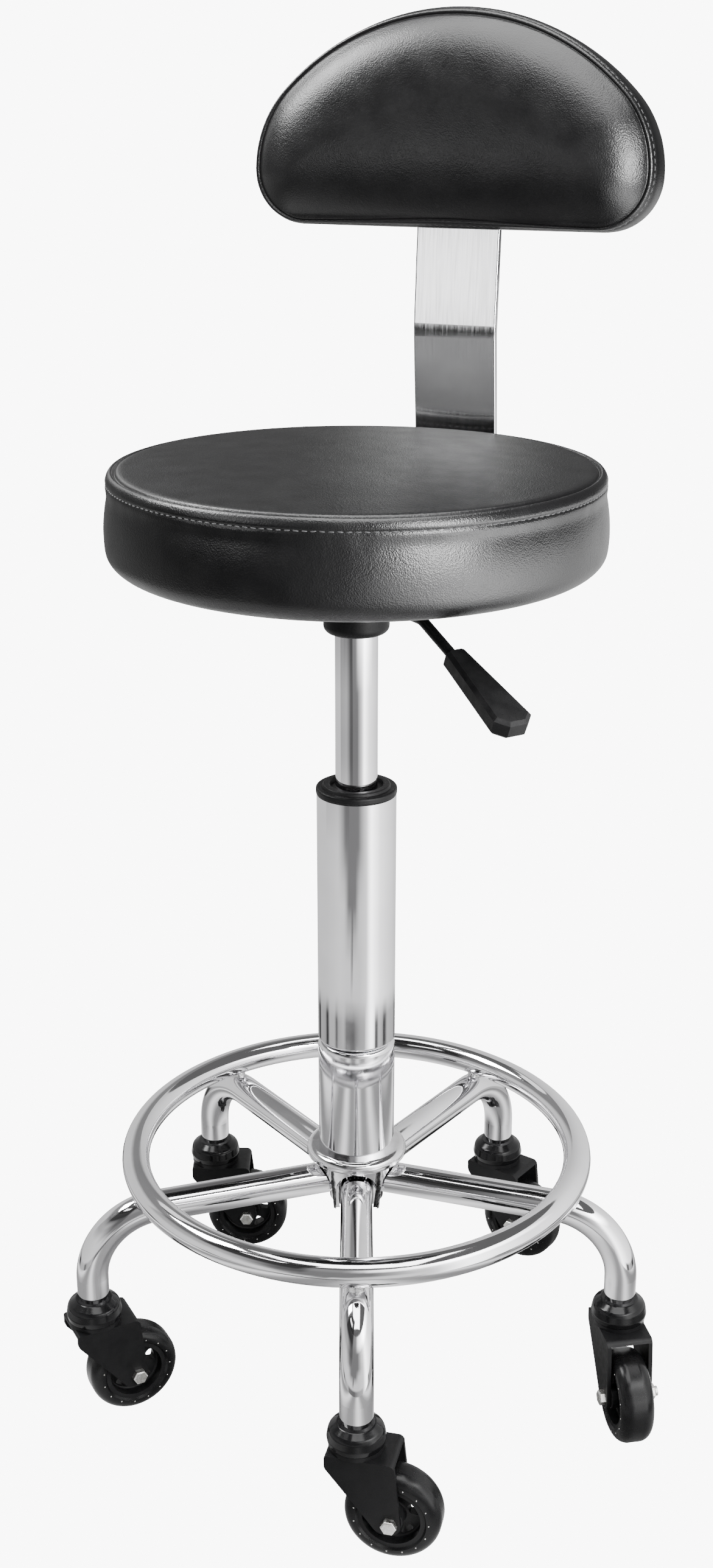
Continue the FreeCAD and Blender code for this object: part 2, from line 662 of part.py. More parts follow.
def make_lever():
    """Bent release lever with its knob, and the pin that it turns on."""
    rod = new_body("lever_rod")
    path = new_sketch(rod, "XZ_Plane")
    slope = sine(d.lever_drop) / cosine(d.lever_drop)
    run = d.lever_reach - d.lever_knee
    add_outline(path, [(-d.lever_inner, d.lever_height), (d.lever_knee, d.lever_height, d.lever_bend),
                       (d.lever_reach, d.lever_height - run * slope)], closed=False)
    section = new_sketch(rod, "YZ_Plane", -d.lever_inner)
    add_circle(section, 0, d.lever_height, d.lever_radius)
    doc.recompute()
    add_pipe(rod, section, path)
    bore = new_sketch(rod, "XZ_Plane")
    add_circle(bore, d.lever_pivot, d.lever_height, d.pivot_radius + d.running_gap)
    add_pocket(rod, bore, d.socket_radius, symmetric=True)
    keep(place(rod, turn=d.lever_turn))

    pivot = new_body("lever_pivot")
    disc = new_sketch(pivot, "XZ_Plane")
    add_circle(disc, d.lever_pivot, d.lever_height, d.pivot_radius)
    add_pad(pivot, disc, d.pivot_length, symmetric=True)
    keep(place(pivot, turn=d.lever_turn))

    knob = new_body("lever_knob")
    plan = new_sketch(knob, "XY_Plane")
    far, far_cut, near_cut = d.knob_length, d.knob_far_cut, d.knob_near_cut
    lower_side = [(0, near_cut - d.knob_narrow), (near_cut, -d.knob_narrow),
                  (far - far_cut, -d.knob_wide), (far, far_cut - d.knob_wide)]
    upper_side = [(x, -as_size(y)) for x, y in reversed(lower_side)]
    add_outline(plan, lower_side + upper_side)
    block = add_pad(knob, plan, d.knob_thick, symmetric=True)
    trim_edges(knob, "Chamfer", block, d.knob_chamfer, lambda edge: edge.BoundBox.ZLength < SAME)
    doc.recompute()
    bore = new_sketch(knob, "YZ_Plane")
    add_circle(bore, 0, 0, d.lever_radius)
    overlap = (d.lever_reach - d.knob_start) / cosine(d.lever_drop)
    add_pocket(knob, bore, overlap, backward=True)
    knob.Placement = FreeCAD.Placement(
        FreeCAD.Vector(0, 0, 0),
        FreeCAD.Rotation(FreeCAD.Vector(0, 0, 1), d.lever_turn.value)
        * FreeCAD.Rotation(FreeCAD.Vector(0, 1, 0), d.lever_drop.value))
    bind(knob, "Placement.Base.x", d.knob_start * cosine(d.lever_turn))
    bind(knob, "Placement.Base.y", d.knob_start * sine(d.lever_turn))
    bind(knob, "Placement.Base.z", d.lever_height - (d.knob_start - d.lever_knee) * slope)
    keep(knob)


def add_seat_holes(sketch):
    """Holes for the seat's four screws and the bar's bolts."""
    for x, y in SQUARE:
        add_circle(sketch, d.screw_spread * x, d.screw_spread * y, d.screw_radius)
    for y in bar_bolt_places():
        add_circle(sketch, 0, y, d.screw_radius)


def make_seat():
    """Plate, board, cushion and the screws that hold them together."""
    plate_low = d.seat_low - d.plate_thick
    plate = new_body("seat_plate")
    square = new_sketch(plate, "XY_Plane", plate_low)
    add_outline(square, [(d.plate_half * x, d.plate_half * y, d.plate_corner) for x, y in SQUARE])
    add_seat_holes(square)
    add_pad(plate, square, d.plate_thick)
    keep(plate)

    board = new_body("seat_board")
    disc = new_sketch(board, "XY_Plane", d.seat_low)
    add_circle(disc, 0, 0, d.board_radius)
    add_seat_holes(disc)
    add_pad(board, disc, d.board_thick)
    keep(board)

    keep(turned_body("seat_cushion", [
        (d.board_radius, d.seat_low), (d.seat_radius, d.seat_low, d.seat_low_round),
        (d.seat_radius, d.seat_high, d.seat_top_round), (0, d.seat_high),
        (0, d.seat_low + d.board_thick), (d.board_radius, d.seat_low + d.board_thick)]))

    screws = []
    for i, (x, y) in enumerate(SQUARE):
        spot = (d.screw_spread * x, d.screw_spread * y)
        screws.append(cylinder(f"screw_shank_{i}", d.screw_radius, plate_low,
                               d.plate_thick + d.board_thick, *spot))
        screws.append(cylinder(f"screw_head_{i}", d.head_radius, plate_low - d.head_thick,
                               d.head_thick, *spot))
    keep(joined("seat_screws", screws))


def bar_bolt_places():
    """Distances of the bar's bolts from the column axis."""
    return [d.bar_start + d.bolt_near, d.bar_start + d.bolt_far]


def bar_middle(height):
    """Distance from the column axis to the middle of the bar's upper run at a height."""
    return d.knee_back + (height - d.knee_height) * sine(d.bar_tilt) / cosine(d.bar_tilt)


def bar_front(height):
    """Distance from the column axis to the front face of the bar's upper run at a height."""
    return bar_middle(height) - d.bar_thick / 2 / cosine(d.bar_tilt)


def make_backrest_bar():
    """Flat steel bar from under the seat, up behind it to the backrest."""
    level = d.seat_low - d.plate_thick - d.bar_thick / 2
    bar = new_body("backrest_bar")
    path = new_sketch(bar, "YZ_Plane")
    add_outline(path, [(d.bar_start, level), (d.bar_back, level, d.bar_bend),
                       (d.knee_back, d.knee_height, d.knee_bend),
                       (bar_middle(d.bar_high), d.bar_high)], closed=False)
    section = new_sketch(bar, "XZ_Plane", -d.bar_start)
    half = d.bar_half_width
    add_outline(section, [(half * x, level + d.bar_thick / 2 * z, d.bar_round) for x, z in SQUARE])
    doc.recompute()
    add_pipe(bar, section, path)
    holes = new_sketch(bar, "XY_Plane", level)
    for y in bar_bolt_places():
        add_circle(holes, 0, y, d.screw_radius)
    add_pocket(bar, holes, d.bar_thick + d.cut_margin * 2, symmetric=True)
    back_holes = new_sketch(bar, "XZ_Plane", -bar_middle(d.bar_high))
    for up in back_screw_places():
        add_circle(back_holes, 0, d.pad_low + up * cosine(d.bar_tilt), d.screw_radius + d.screw_room)
    add_pocket(bar, back_holes, d.bar_half_width, symmetric=True)
    keep(bar)

    bolts = []
    bar_low = level - d.bar_thick / 2
    for i, y in enumerate(bar_bolt_places()):
        length = d.bar_thick + d.plate_thick + d.board_thick
        bolts.append(cylinder(f"bar_shank_{i}", d.screw_radius, bar_low, length, 0, y))
        bolts.append(cylinder(f"bar_head_{i}", d.head_radius, bar_low - d.head_thick, d.head_thick, 0, y))
    keep(joined("bar_bolts", bolts))


def pad_corners(inset):
    """Outline of the pad, arched on top, as (across, up) from the middle of its lower edge."""
    wide = d.pad_half_width - inset
    slope = sine(d.pad_slope) / cosine(d.pad_slope)
    top_radius = d.pad_top_radius - inset
    peak = d.pad_high - d.pad_low - inset + top_radius / cosine(d.pad_slope) - top_radius
    shoulder = peak - wide * slope
    corner = d.pad_corner_radius - inset
    rise = d.pad_shoulder_radius - inset
    return [(-wide, inset, corner), (wide, inset, corner), (wide, shoulder, rise),
            (0, peak, top_radius), (-wide, shoulder, rise)]


def on_bar(target, forward):
    """Stand a piece on the bar's upper run, its own back that far in front of the bar's face."""
    target.Placement = FreeCAD.Placement(FreeCAD.Vector(0, 0, 0), FreeCAD.Vector(1, 0, 0), -1)
    bind(target, "Placement.Rotation.Angle", -d.bar_tilt)
    bind(target, "Placement.Base.y", bar_front(d.pad_low) - forward * cosine(d.bar_tilt))
    bind(target, "Placement.Base.z", d.pad_low + forward * sine(d.bar_tilt))
    return target


def back_screw_places():
    """Heights of the backrest's screws above the pad's lower edge."""
    top = d.bar_high - d.pad_low
    return [top - d.back_screw_near, top - d.back_screw_far]


def make_backrest():
    """Board, cushion and screws of the backrest pad."""
    board = new_body("backrest_board")
    outline = new_sketch(board, "XZ_Plane")
    add_outline(outline, pad_corners(d.back_board_inset))
    for up in back_screw_places():
        add_circle(outline, 0, up, d.screw_radius)
    add_pad(board, outline, d.back_board_thick)
    keep(on_bar(board, as_size(0)))

    cushion = new_body("backrest_cushion")
    outline = new_sketch(cushion, "XZ_Plane")
    add_outline(outline, pad_corners(as_size(0)))
    block = add_pad(cushion, outline, d.pad_thick)
    front = -d.pad_thick.value
    trim_edges(cushion, "Fillet", block, d.pad_edge,
               lambda edge: abs(edge.BoundBox.YMin - front) < SAME and edge.BoundBox.YLength < SAME)
    keep(on_bar(cushion, d.back_board_thick))

    screws = []
    for i, up in enumerate(back_screw_places()):
        for name, radius, start, length in (
                ("shank", d.screw_radius, -d.back_board_thick, d.back_board_thick + d.bar_thick),
                ("head", d.head_radius, d.bar_thick, d.head_thick)):
            part = new_body(f"back_{name}_{i}")
            disc = new_sketch(part, "XZ_Plane", -start)
            add_circle(disc, 0, up, radius)
            add_pad(part, disc, length, backward=True)
            screws.append(on_bar(part, as_size(0)))
    keep(joined("backrest_screws", screws))


# ---------------------------------------------------------------- casters

def caster_spot(k):
    return d.leg_reach * cosine(leg_turn(k)), d.leg_reach * sine(leg_turn(k))


def make_caster_stem(k):
    """Plug in the leg's end, silver collar, stem and the rivet head that holds the fork."""
    plug = d.leg_radius - d.leg_wall - d.running_gap * 2
    head = d.stem_radius + d.stem_head_lip
    head_high = d.fork_high - d.fork_plate - d.part_gap
    collar = d.leg_radius - d.collar_set
    plug_high = d.leg_foot + d.stem_plug
    stem = turned_body(f"caster_{k + 1}_stem", [
        (0, head_high - d.stem_head), (head, head_high - d.stem_head), (head, head_high),
        (d.stem_radius, head_high), (d.stem_radius, d.cap_high), (plug, d.cap_high),
        (collar, d.leg_foot - d.collar_bead), (collar, d.leg_foot), (plug, d.leg_foot),
        (plug, plug_high), (0, plug_high)])
    keep(place(stem, *caster_spot(k)))


def make_caster_cap(k):
    """Domed bearing cap, fixed on the stem."""
    low = d.fork_high + d.race_thick + d.part_gap
    cap = turned_body(f"caster_{k + 1}_cap", [
        (d.stem_radius, low), (d.cap_radius - d.cap_foot, low, d.cap_foot),
        (d.cap_radius, low + d.cap_rim, d.cap_waist),
        (d.cap_radius - d.cap_draft, d.cap_high - d.cap_shoulder, d.cap_shoulder_round),
        (d.leg_radius + d.cap_neck, d.cap_high, d.cap_neck_round), (d.stem_radius, d.cap_high)])
    keep(place(cap, *caster_spot(k)))


def make_caster_fork(k):
    """Pressed fork, trailing along its own +X, with the bearing race on top."""
    fork = new_body(f"caster_{k + 1}_fork")
    side = new_sketch(fork, "XZ_Plane")
    under_top = d.fork_high - d.fork_plate
    foot_low = d.wheel_radius - d.fork_foot
    add_outline(side, [
        (-d.fork_front, d.fork_high, d.fork_brow_round),
        (-d.fork_front, under_top - d.fork_brow, d.fork_brow),
        (d.fork_throat, d.wheel_radius + d.fork_throat_rise, d.fork_throat_round),
        (d.trail - d.fork_foot, foot_low, d.fork_foot_round),
        (d.trail + d.fork_foot, foot_low, d.fork_foot_round),
        (d.trail + d.fork_back, d.fork_high, d.fork_back_round)])
    width = (d.fork_half_gap + d.fork_plate) * 2
    add_pad(fork, side, width, symmetric=True)
    room = new_sketch(fork, "XZ_Plane")
    add_outline(room, [(-d.fork_room_front, -d.cut_margin), (d.fork_room_back, -d.cut_margin),
                       (d.fork_room_back, under_top), (-d.fork_room_front, under_top)])
    add_pocket(fork, room, d.fork_half_gap * 2, symmetric=True)
    hole = new_sketch(fork, "XZ_Plane")
    add_circle(hole, d.trail, d.wheel_radius, d.axle_radius)
    add_pocket(fork, hole, width + d.cut_margin * 2, symmetric=True)
    race = new_sketch(fork, "XY_Plane", d.fork_high)
    add_circle(race, 0, 0, d.race_radius)
    add_pad(fork, race, d.race_thick)
    bore = new_sketch(fork, "XY_Plane", d.fork_high)
    add_circle(bore, 0, 0, d.stem_radius + d.running_gap)
    add_pocket(fork, bore, d.stem_bore * 2, symmetric=True)
    keep(place(fork, *caster_spot(k), turn=CASTER_TURNS[k]))


def at_axle(target, k):
    """Put a piece at the axle of caster k, with its own Y along the axle."""
    turn = as_size(CASTER_TURNS[k])
    across, deep = caster_spot(k)
    return place(target, across + d.trail * cosine(turn), deep + d.trail * sine(turn),
                 d.wheel_radius, turn)


def body_about_axle(label, corners):
    """A body of revolution about its own Y from (radius, along) corners."""
    body = new_body(label)
    sketch = new_sketch(body, "XY_Plane")
    add_outline(sketch, corners)
    add_revolution(body, sketch)
    return body


def make_caster_axle(k):
    """Hexagon-headed bolt through the fork, with its nut and the end of its thread."""
    outer = d.fork_half_gap + d.fork_plate
    axle = new_body(f"caster_{k + 1}_axle")
    shank = new_sketch(axle, "XZ_Plane")
    add_circle(shank, 0, 0, d.axle_radius)
    add_pad(axle, shank, outer * 2, symmetric=True)
    turns = [as_size(360 / HEXAGON * i) for i in range(HEXAGON)]
    hexagon = [(d.axle_head_radius * cosine(turn), d.axle_head_radius * sine(turn)) for turn in turns]
    for offset, backward in ((outer, False), (-outer, True)):
        head = new_sketch(axle, "XZ_Plane", offset)
        add_outline(head, hexagon)
        block = add_pad(axle, head, d.axle_head, backward=backward)
        edge_at = (-outer - d.axle_head if not backward else outer + d.axle_head).value
        trim_edges(axle, "Fillet", block, d.axle_head_round,
                   lambda edge: abs(edge.CenterOfMass.y - edge_at) < SAME)
    thread = new_sketch(axle, "XZ_Plane", -outer - d.axle_head)
    add_circle(thread, 0, 0, d.axle_radius - d.thread_depth)
    add_pad(axle, thread, d.axle_thread, backward=True)
    keep(at_axle(axle, k))


def make_caster_tyre(k):
    wide = d.wheel_half_width
    bead = d.tyre_inner + d.tyre_bead
    tyre = body_about_axle(f"caster_{k + 1}_tyre", [
        (d.tyre_inner, -d.rim_half_width), (bead, -wide),
        (d.wheel_radius, -wide, d.tyre_round), (d.wheel_radius, wide, d.tyre_round),
        (bead, wide), (d.tyre_inner, d.rim_half_width)])
    keep(at_axle(tyre, k))


def make_caster_rim(k):
    """Rim, web with openings, and boss running on the axle."""
    bore = d.axle_radius + d.running_gap
    lip = d.tyre_inner - d.rim_lip
    boss = d.boss_half_width
    near_side = [
        (bore, -boss), (d.boss_radius, -boss, d.boss_round), (d.boss_radius, -d.web_half, d.web_round),
        (lip, -d.web_half, d.web_round), (lip, -d.rim_half_width), (d.tyre_inner, -d.rim_half_width)]
    far_side = [(radius, -along, *rounding) for radius, along, *rounding in reversed(near_side)]
    rim = body_about_axle(f"caster_{k + 1}_rim", near_side + far_side)
    opening = new_sketch(rim, "XZ_Plane")
    add_outline(opening, [
        (-d.slot_half_near, d.slot_near, d.slot_near_round),
        (d.slot_half_near, d.slot_near, d.slot_near_round),
        (d.slot_half_far, d.slot_far, d.slot_far_round),
        (-d.slot_half_far, d.slot_far, d.slot_far_round)])
    cut = add_pocket(rim, opening, (d.web_half + d.cut_margin) * 2, symmetric=True)
    add_pattern(rim, cut, d.slot_count, "Y_Axis")
    keep(at_axle(rim, k))


# ---------------------------------------------------------------- assembly

make_hub()
for k in CASTERS:
    make_leg(k)
make_foot_ring()
make_ring_welds()
make_column()
make_spindle()
make_gas_cylinder()
make_release_pin()
make_socket()
make_lever()
make_seat()
make_backrest_bar()
make_backrest()
for k in CASTERS:
    make_caster_stem(k)
    make_caster_cap(k)
    make_caster_fork(k)
    make_caster_axle(k)
    make_caster_tyre(k)
    make_caster_rim(k)
doc.recompute()

failed = [o.Name for o in doc.Objects if "Invalid" in o.State or "Error" in o.State]
failed += [o.Label for o in nodes if o.Shape.isNull() or not o.Shape.isValid()]
if failed:
    sys.exit("failed objects: " + ", ".join(failed))

os.makedirs("parts", exist_ok=True)
for node in nodes:
    node.Shape.exportStep(f"parts/{node.Label}.step")
    print(f"{node.Label}: {node.Shape.Volume:.0f} mm3, {len(node.Shape.Solids)} solid(s)")
print(len(nodes), "sub-parts")
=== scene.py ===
"""Looks of the rolling stylist stool, built round its frame. Metres, +Z up, backrest at +Y."""
import json
import math
import random

import bmesh
import bpy
from mathutils import Matrix, Vector
from mathutils.bvhtree import BVHTree


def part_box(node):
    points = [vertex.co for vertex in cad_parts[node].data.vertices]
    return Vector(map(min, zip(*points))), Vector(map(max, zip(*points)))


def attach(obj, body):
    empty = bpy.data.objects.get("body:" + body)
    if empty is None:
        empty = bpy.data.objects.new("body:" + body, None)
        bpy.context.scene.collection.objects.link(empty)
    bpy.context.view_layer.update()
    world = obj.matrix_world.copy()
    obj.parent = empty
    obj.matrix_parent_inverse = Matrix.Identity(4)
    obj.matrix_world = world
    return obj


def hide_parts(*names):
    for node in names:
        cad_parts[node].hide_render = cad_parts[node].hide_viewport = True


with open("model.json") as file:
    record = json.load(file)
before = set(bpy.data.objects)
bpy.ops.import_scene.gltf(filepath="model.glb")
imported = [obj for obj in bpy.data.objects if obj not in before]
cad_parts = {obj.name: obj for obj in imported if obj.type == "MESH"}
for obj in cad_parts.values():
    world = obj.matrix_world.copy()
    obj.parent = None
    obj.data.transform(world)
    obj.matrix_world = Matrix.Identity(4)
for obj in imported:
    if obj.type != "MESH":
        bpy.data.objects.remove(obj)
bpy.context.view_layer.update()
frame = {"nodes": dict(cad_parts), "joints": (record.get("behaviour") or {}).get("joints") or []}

MM = 0.001
CASTERS = range(1, 6)
random.seed(7)


# ---------------------------------------------------------------- camera, light and floor

CAMERA_AZIMUTH = math.radians(23.5)
CAMERA_DISTANCE = 1.202
CAMERA_HEIGHT = 0.888
CAMERA_PITCH = math.radians(19.94)
CAMERA_LENS = 44.42
SENSOR_WIDTH = 36


def add_camera():
    data = bpy.data.cameras.new("camera")
    data.lens = CAMERA_LENS
    data.sensor_width = SENSOR_WIDTH
    camera = bpy.data.objects.new("camera", data)
    camera.location = from_camera(0, CAMERA_DISTANCE, CAMERA_HEIGHT)
    camera.rotation_euler = (math.pi / 2 - CAMERA_PITCH, 0, CAMERA_AZIMUTH)
    bpy.context.collection.objects.link(camera)
    bpy.context.scene.camera = camera


def from_camera(turn, distance, height):
    """A place round the column, at so many degrees to the right of the camera's own direction."""
    angle = CAMERA_AZIMUTH + math.radians(turn)
    return distance * math.sin(angle), -distance * math.cos(angle), height


# Name, turn, distance, height, height of its aim on the column, size and watts.
LIGHTS = [
    ("overhead", 0, 0.2, 2.2, 0.5, (1.5, 1.8), 70),
    ("side", 34, 1.5, 1.08, 0.85, (0.45, 0.9), 68),
    ("left", -104, 1.4, 2.05, 0.85, (1.0, 0.9), 75),
    ("rear", -150, 1.7, 1.4, 0.6, (0.8, 1.0), 4),
    ("glint", 175, 1.45, 0.96, 0.66, (0.2, 0.3), 0.3)]


def add_area_light(name, turn, distance, height, aim_height, size, power):
    data = bpy.data.lights.new(name, "AREA")
    data.shape = "RECTANGLE"
    data.size, data.size_y = size
    data.energy = power
    light = bpy.data.objects.new(name, data)
    light.location = from_camera(turn, distance, height)
    aim = Vector((0, 0, aim_height)) - light.location
    light.rotation_euler = aim.to_track_quat("-Z", "Y").to_euler()
    bpy.context.collection.objects.link(light)


def plain_material(name, shade, glow):
    material = bpy.data.materials.new(name)
    material.use_nodes = True
    shader = material.node_tree.nodes["Principled BSDF"]
    shader.inputs["Base Color"].default_value = (shade, shade, shade, 1)
    shader.inputs["Roughness"].default_value = STAGE_ROUGHNESS
    shader.inputs["Specular IOR Level"].default_value = STAGE_SPECULAR
    shader.inputs["Emission Color"].default_value = (1, 1, 1, 1)
    shader.inputs["Emission Strength"].default_value = glow
    return material


def add_stage(name, points, faces, material, seen=False):
    """A studio surface that shows either to the camera or in reflections. It casts no shadow."""
    mesh = bpy.data.meshes.new(name)
    mesh.from_pydata(points, [], faces)
    mesh.materials.append(material)
    piece = bpy.data.objects.new(name, mesh)
    bpy.context.collection.objects.link(piece)
    piece.visible_camera = seen
    piece.visible_glossy = not seen
    piece.visible_diffuse = False
    piece.visible_shadow = False
    return piece


def glowing_stage(name, points, faces, glows, shade=0.0):
    """A stage piece seen only in reflections, with its own glow at each point."""
    material = plain_material(name, shade, 1)
    tree = material.node_tree
    reader = tree.nodes.new("ShaderNodeAttribute")
    reader.attribute_name = "glow"
    tree.links.new(reader.outputs["Fac"], tree.nodes["Principled BSDF"].inputs["Emission Strength"])
    piece = add_stage(name, points, faces, material)
    piece.data.attributes.new("glow", "FLOAT", "POINT").data.foreach_set("value", glows)
    return piece


def grid_faces(columns, rows):
    """Faces over a grid of points that are listed column by column."""
    faces = []
    for i in range(columns - 1):
        for j in range(rows - 1):
            a = i * rows + j
            faces.append((a, a + rows, a + rows + 1, a + 1))
    return faces


def square(half, height=0.0):
    corners = ((-1, -1), (1, -1), (1, 1), (-1, 1))
    return [(half * x, half * y, height) for x, y in corners]


STAGE_ROUGHNESS = 0.8
STAGE_SPECULAR = 0.1
FLOOR_HALF = 6
FLOOR_GLOW = 9.0
BACKDROP_GLOW = 9.0
BACKDROP_LOW = -0.5
BACKDROP_HIGH = 5.0
WORLD_GLOW = 0.16
# The floor as reflections see it: width of a band, glow of the dark and the bright ones, and step.
FLOOR_BAND = 0.24
FLOOR_BAND_PHASE = 0.8
FLOOR_DARK = 0.05
FLOOR_BRIGHT = 1.3
FLOOR_SHADE = 0.12
FLOOR_STEP = 0.03
FLOOR_STEPS = 34
# The reflector ring, which stands round the stool and bands the chrome.
RING_RADIUS = 0.52
RING_STEP = 3
RING_HEIGHTS = [0.0, 0.04, 0.06, 0.1, 0.16, 0.22, 0.3, 0.36, 0.46, 0.62]
# Turn in degrees and glow there.
RING_GLOW = [
    (-180, 0.9), (-133, 1.0), (-97, 1.05), (-71, 1.15), (-49, 1.3), (-20, 1.2), (10, 1.2),
    (29, 1.6), (43, 5.5), (56, 4.0), (71, 2.6), (97, 2.0), (133, 1.4), (180, 0.9)]
# Shares of that glow near the floor: dark stripes, which draw lines along the ring and the legs.
RING_STRIPES = [
    (-180, 1), (-150, 1.2), (-143, 0.1), (-135, 0.1), (-128, 1.2), (-104, 1), (-98, 0.1),
    (-92, 0.1), (-86, 1.4), (-68, 1.3), (-61, 0.1), (-55, 0.9), (-38, 1.3), (-30, 0.4), (-8, 0.3),
    (10, 1), (50, 1), (57, 0.1), (63, 0.1), (68, 0.7), (80, 0.6), (87, 0.05), (93, 0.1),
    (104, 0.9), (140, 1), (150, 0.15), (160, 0.9), (180, 1)]
STRIPES_BELOW = 0.045
LOW_SHARE = 0.5
LOW_BRIGHT_TURNS = (24, 56)
# Dark patch that the bar's lower run mirrors.
PATCH_TURN = -47
PATCH_HALF = 24
PATCH_ABOVE = 0.45
PATCH_GLOW = 0.04
# Dark wedge down the middle of the column's sleeve, widest at its top.
WEDGE_TURN = -13
WEDGE_LOW = 0.09
WEDGE_RISE = 0.12
WEDGE_HALF = 38
WEDGE_MOST = 42.0
WEDGE_EDGE = 1.8
WEDGE_DEPTH = 0.78
# Softer left side above that height, for the gas cylinder.
SOFT_ABOVE = 0.28
SOFT_TURNS = (-95, -20)
SOFT_SHARE = 0.55
# Highlight for the seat's band.
BAND_ABOVE = 0.4
BAND_TURN = 46
BAND_HALF = 50
BAND_GLOW = 7.5
BAND_LEFT_ENDS = 5
BAND_LEFT_SHARE = 0.3
# Upright cards of one glow: turns, heights, radius and glow.
CARDS = {
    "dark_card": ((-76, -58, -40, -22), (0.62, 1.3), RING_RADIUS + 0.02, 0.01),
    "bar_window": ((-62, -50, -38), (0.725, 0.86), RING_RADIUS, 3.6)}


def along_table(table, at):
    """Straight-line interpolation in a table of (place, value)."""
    for (start, low), (end, high) in zip(table, table[1:]):
        if start <= at <= end:
            return low + (high - low) * (at - start) / (end - start)
    return table[-1][1]


def ring_glow(turn, height):
    """Glow of the reflector ring at a turn in degrees and a height."""
    if height > PATCH_ABOVE and abs(turn - PATCH_TURN) < PATCH_HALF:
        return PATCH_GLOW
    glow = along_table(RING_GLOW, turn)
    if height < STRIPES_BELOW:
        glow *= along_table(RING_STRIPES, turn)
    wedge = min(WEDGE_MOST, WEDGE_HALF * (height - WEDGE_LOW) / WEDGE_RISE)
    if wedge > 1 and height < BAND_ABOVE:
        shade = max(0.0, 1 - abs(turn - WEDGE_TURN) / wedge)
        glow *= 1 - WEDGE_DEPTH * min(1.0, WEDGE_EDGE * shade)
    if height > SOFT_ABOVE and SOFT_TURNS[0] < turn < SOFT_TURNS[1]:
        glow *= SOFT_SHARE
    if height < STRIPES_BELOW and not LOW_BRIGHT_TURNS[0] < turn < LOW_BRIGHT_TURNS[1]:
        glow *= LOW_SHARE
    if height > BAND_ABOVE:
        glow *= 1 if turn > BAND_LEFT_ENDS else BAND_LEFT_SHARE
        glow += BAND_GLOW * max(0.0, 1 - abs(turn - BAND_TURN) / BAND_HALF)
    return glow


def add_reflector_ring():
    turns = range(-180, 181, RING_STEP)
    places = [(turn, height) for turn in turns for height in RING_HEIGHTS]
    points = [from_camera(turn, RING_RADIUS, height) for turn, height in places]
    glows = [ring_glow(turn, height) for turn, height in places]
    glowing_stage("reflector_ring", points, grid_faces(len(turns), len(RING_HEIGHTS)), glows)


def add_card(name, turns, heights, radius, glow):
    """An upright reflector card of one glow, round part of the stool."""
    points = [from_camera(turn, radius, height) for turn in turns for height in heights]
    add_stage(name, points, grid_faces(len(turns), len(heights)), plain_material(name, 0, glow))


def add_floor_bounce():
    """The floor as the chrome sees it: soft bright and dark bands that run away from the camera."""
    middle = [FLOOR_STEP * i for i in range(-FLOOR_STEPS, FLOOR_STEPS + 1)]
    steps = [-FLOOR_HALF, *middle, FLOOR_HALF]
    points, glows = [], []
    away = Vector(from_camera(180, 1, 0))
    across = Vector(from_camera(90, 1, 0))
    for x in steps:
        for y in steps:
            points.append(tuple(across * x + away * y))
            band = 0.5 + 0.5 * math.sin(2 * math.pi * x / FLOOR_BAND + FLOOR_BAND_PHASE)
            glows.append(FLOOR_DARK + FLOOR_BRIGHT * band ** 2)
    faces = grid_faces(len(steps), len(steps))
    bounce = glowing_stage("floor_bounce", points, faces, glows, shade=FLOOR_SHADE)
    bounce.visible_diffuse = True


def add_studio():
    world = bpy.data.worlds.new("studio")
    bpy.context.scene.world = world
    world.use_nodes = True
    background = world.node_tree.nodes["Background"]
    background.inputs["Color"].default_value = (1, 1, 1, 1)
    background.inputs["Strength"].default_value = WORLD_GLOW

    pale = plain_material("pale floor", 0, FLOOR_GLOW)
    add_stage("floor", square(FLOOR_HALF), [(0, 1, 2, 3)], pale, seen=True)
    low, high = square(FLOOR_HALF, BACKDROP_LOW), square(FLOOR_HALF, BACKDROP_HIGH)
    walls = [(0, 1, 5, 4), (1, 2, 6, 5), (2, 3, 7, 6), (3, 0, 4, 7), (4, 5, 6, 7)]
    bright = plain_material("backdrop", 0, BACKDROP_GLOW)
    add_stage("backdrop", low + high, walls, bright, seen=True)

    for light in LIGHTS:
        add_area_light(*light)
    add_reflector_ring()
    for name, card in CARDS.items():
        add_card(name, *card)
    add_floor_bounce()


# ---------------------------------------------------------------- materials

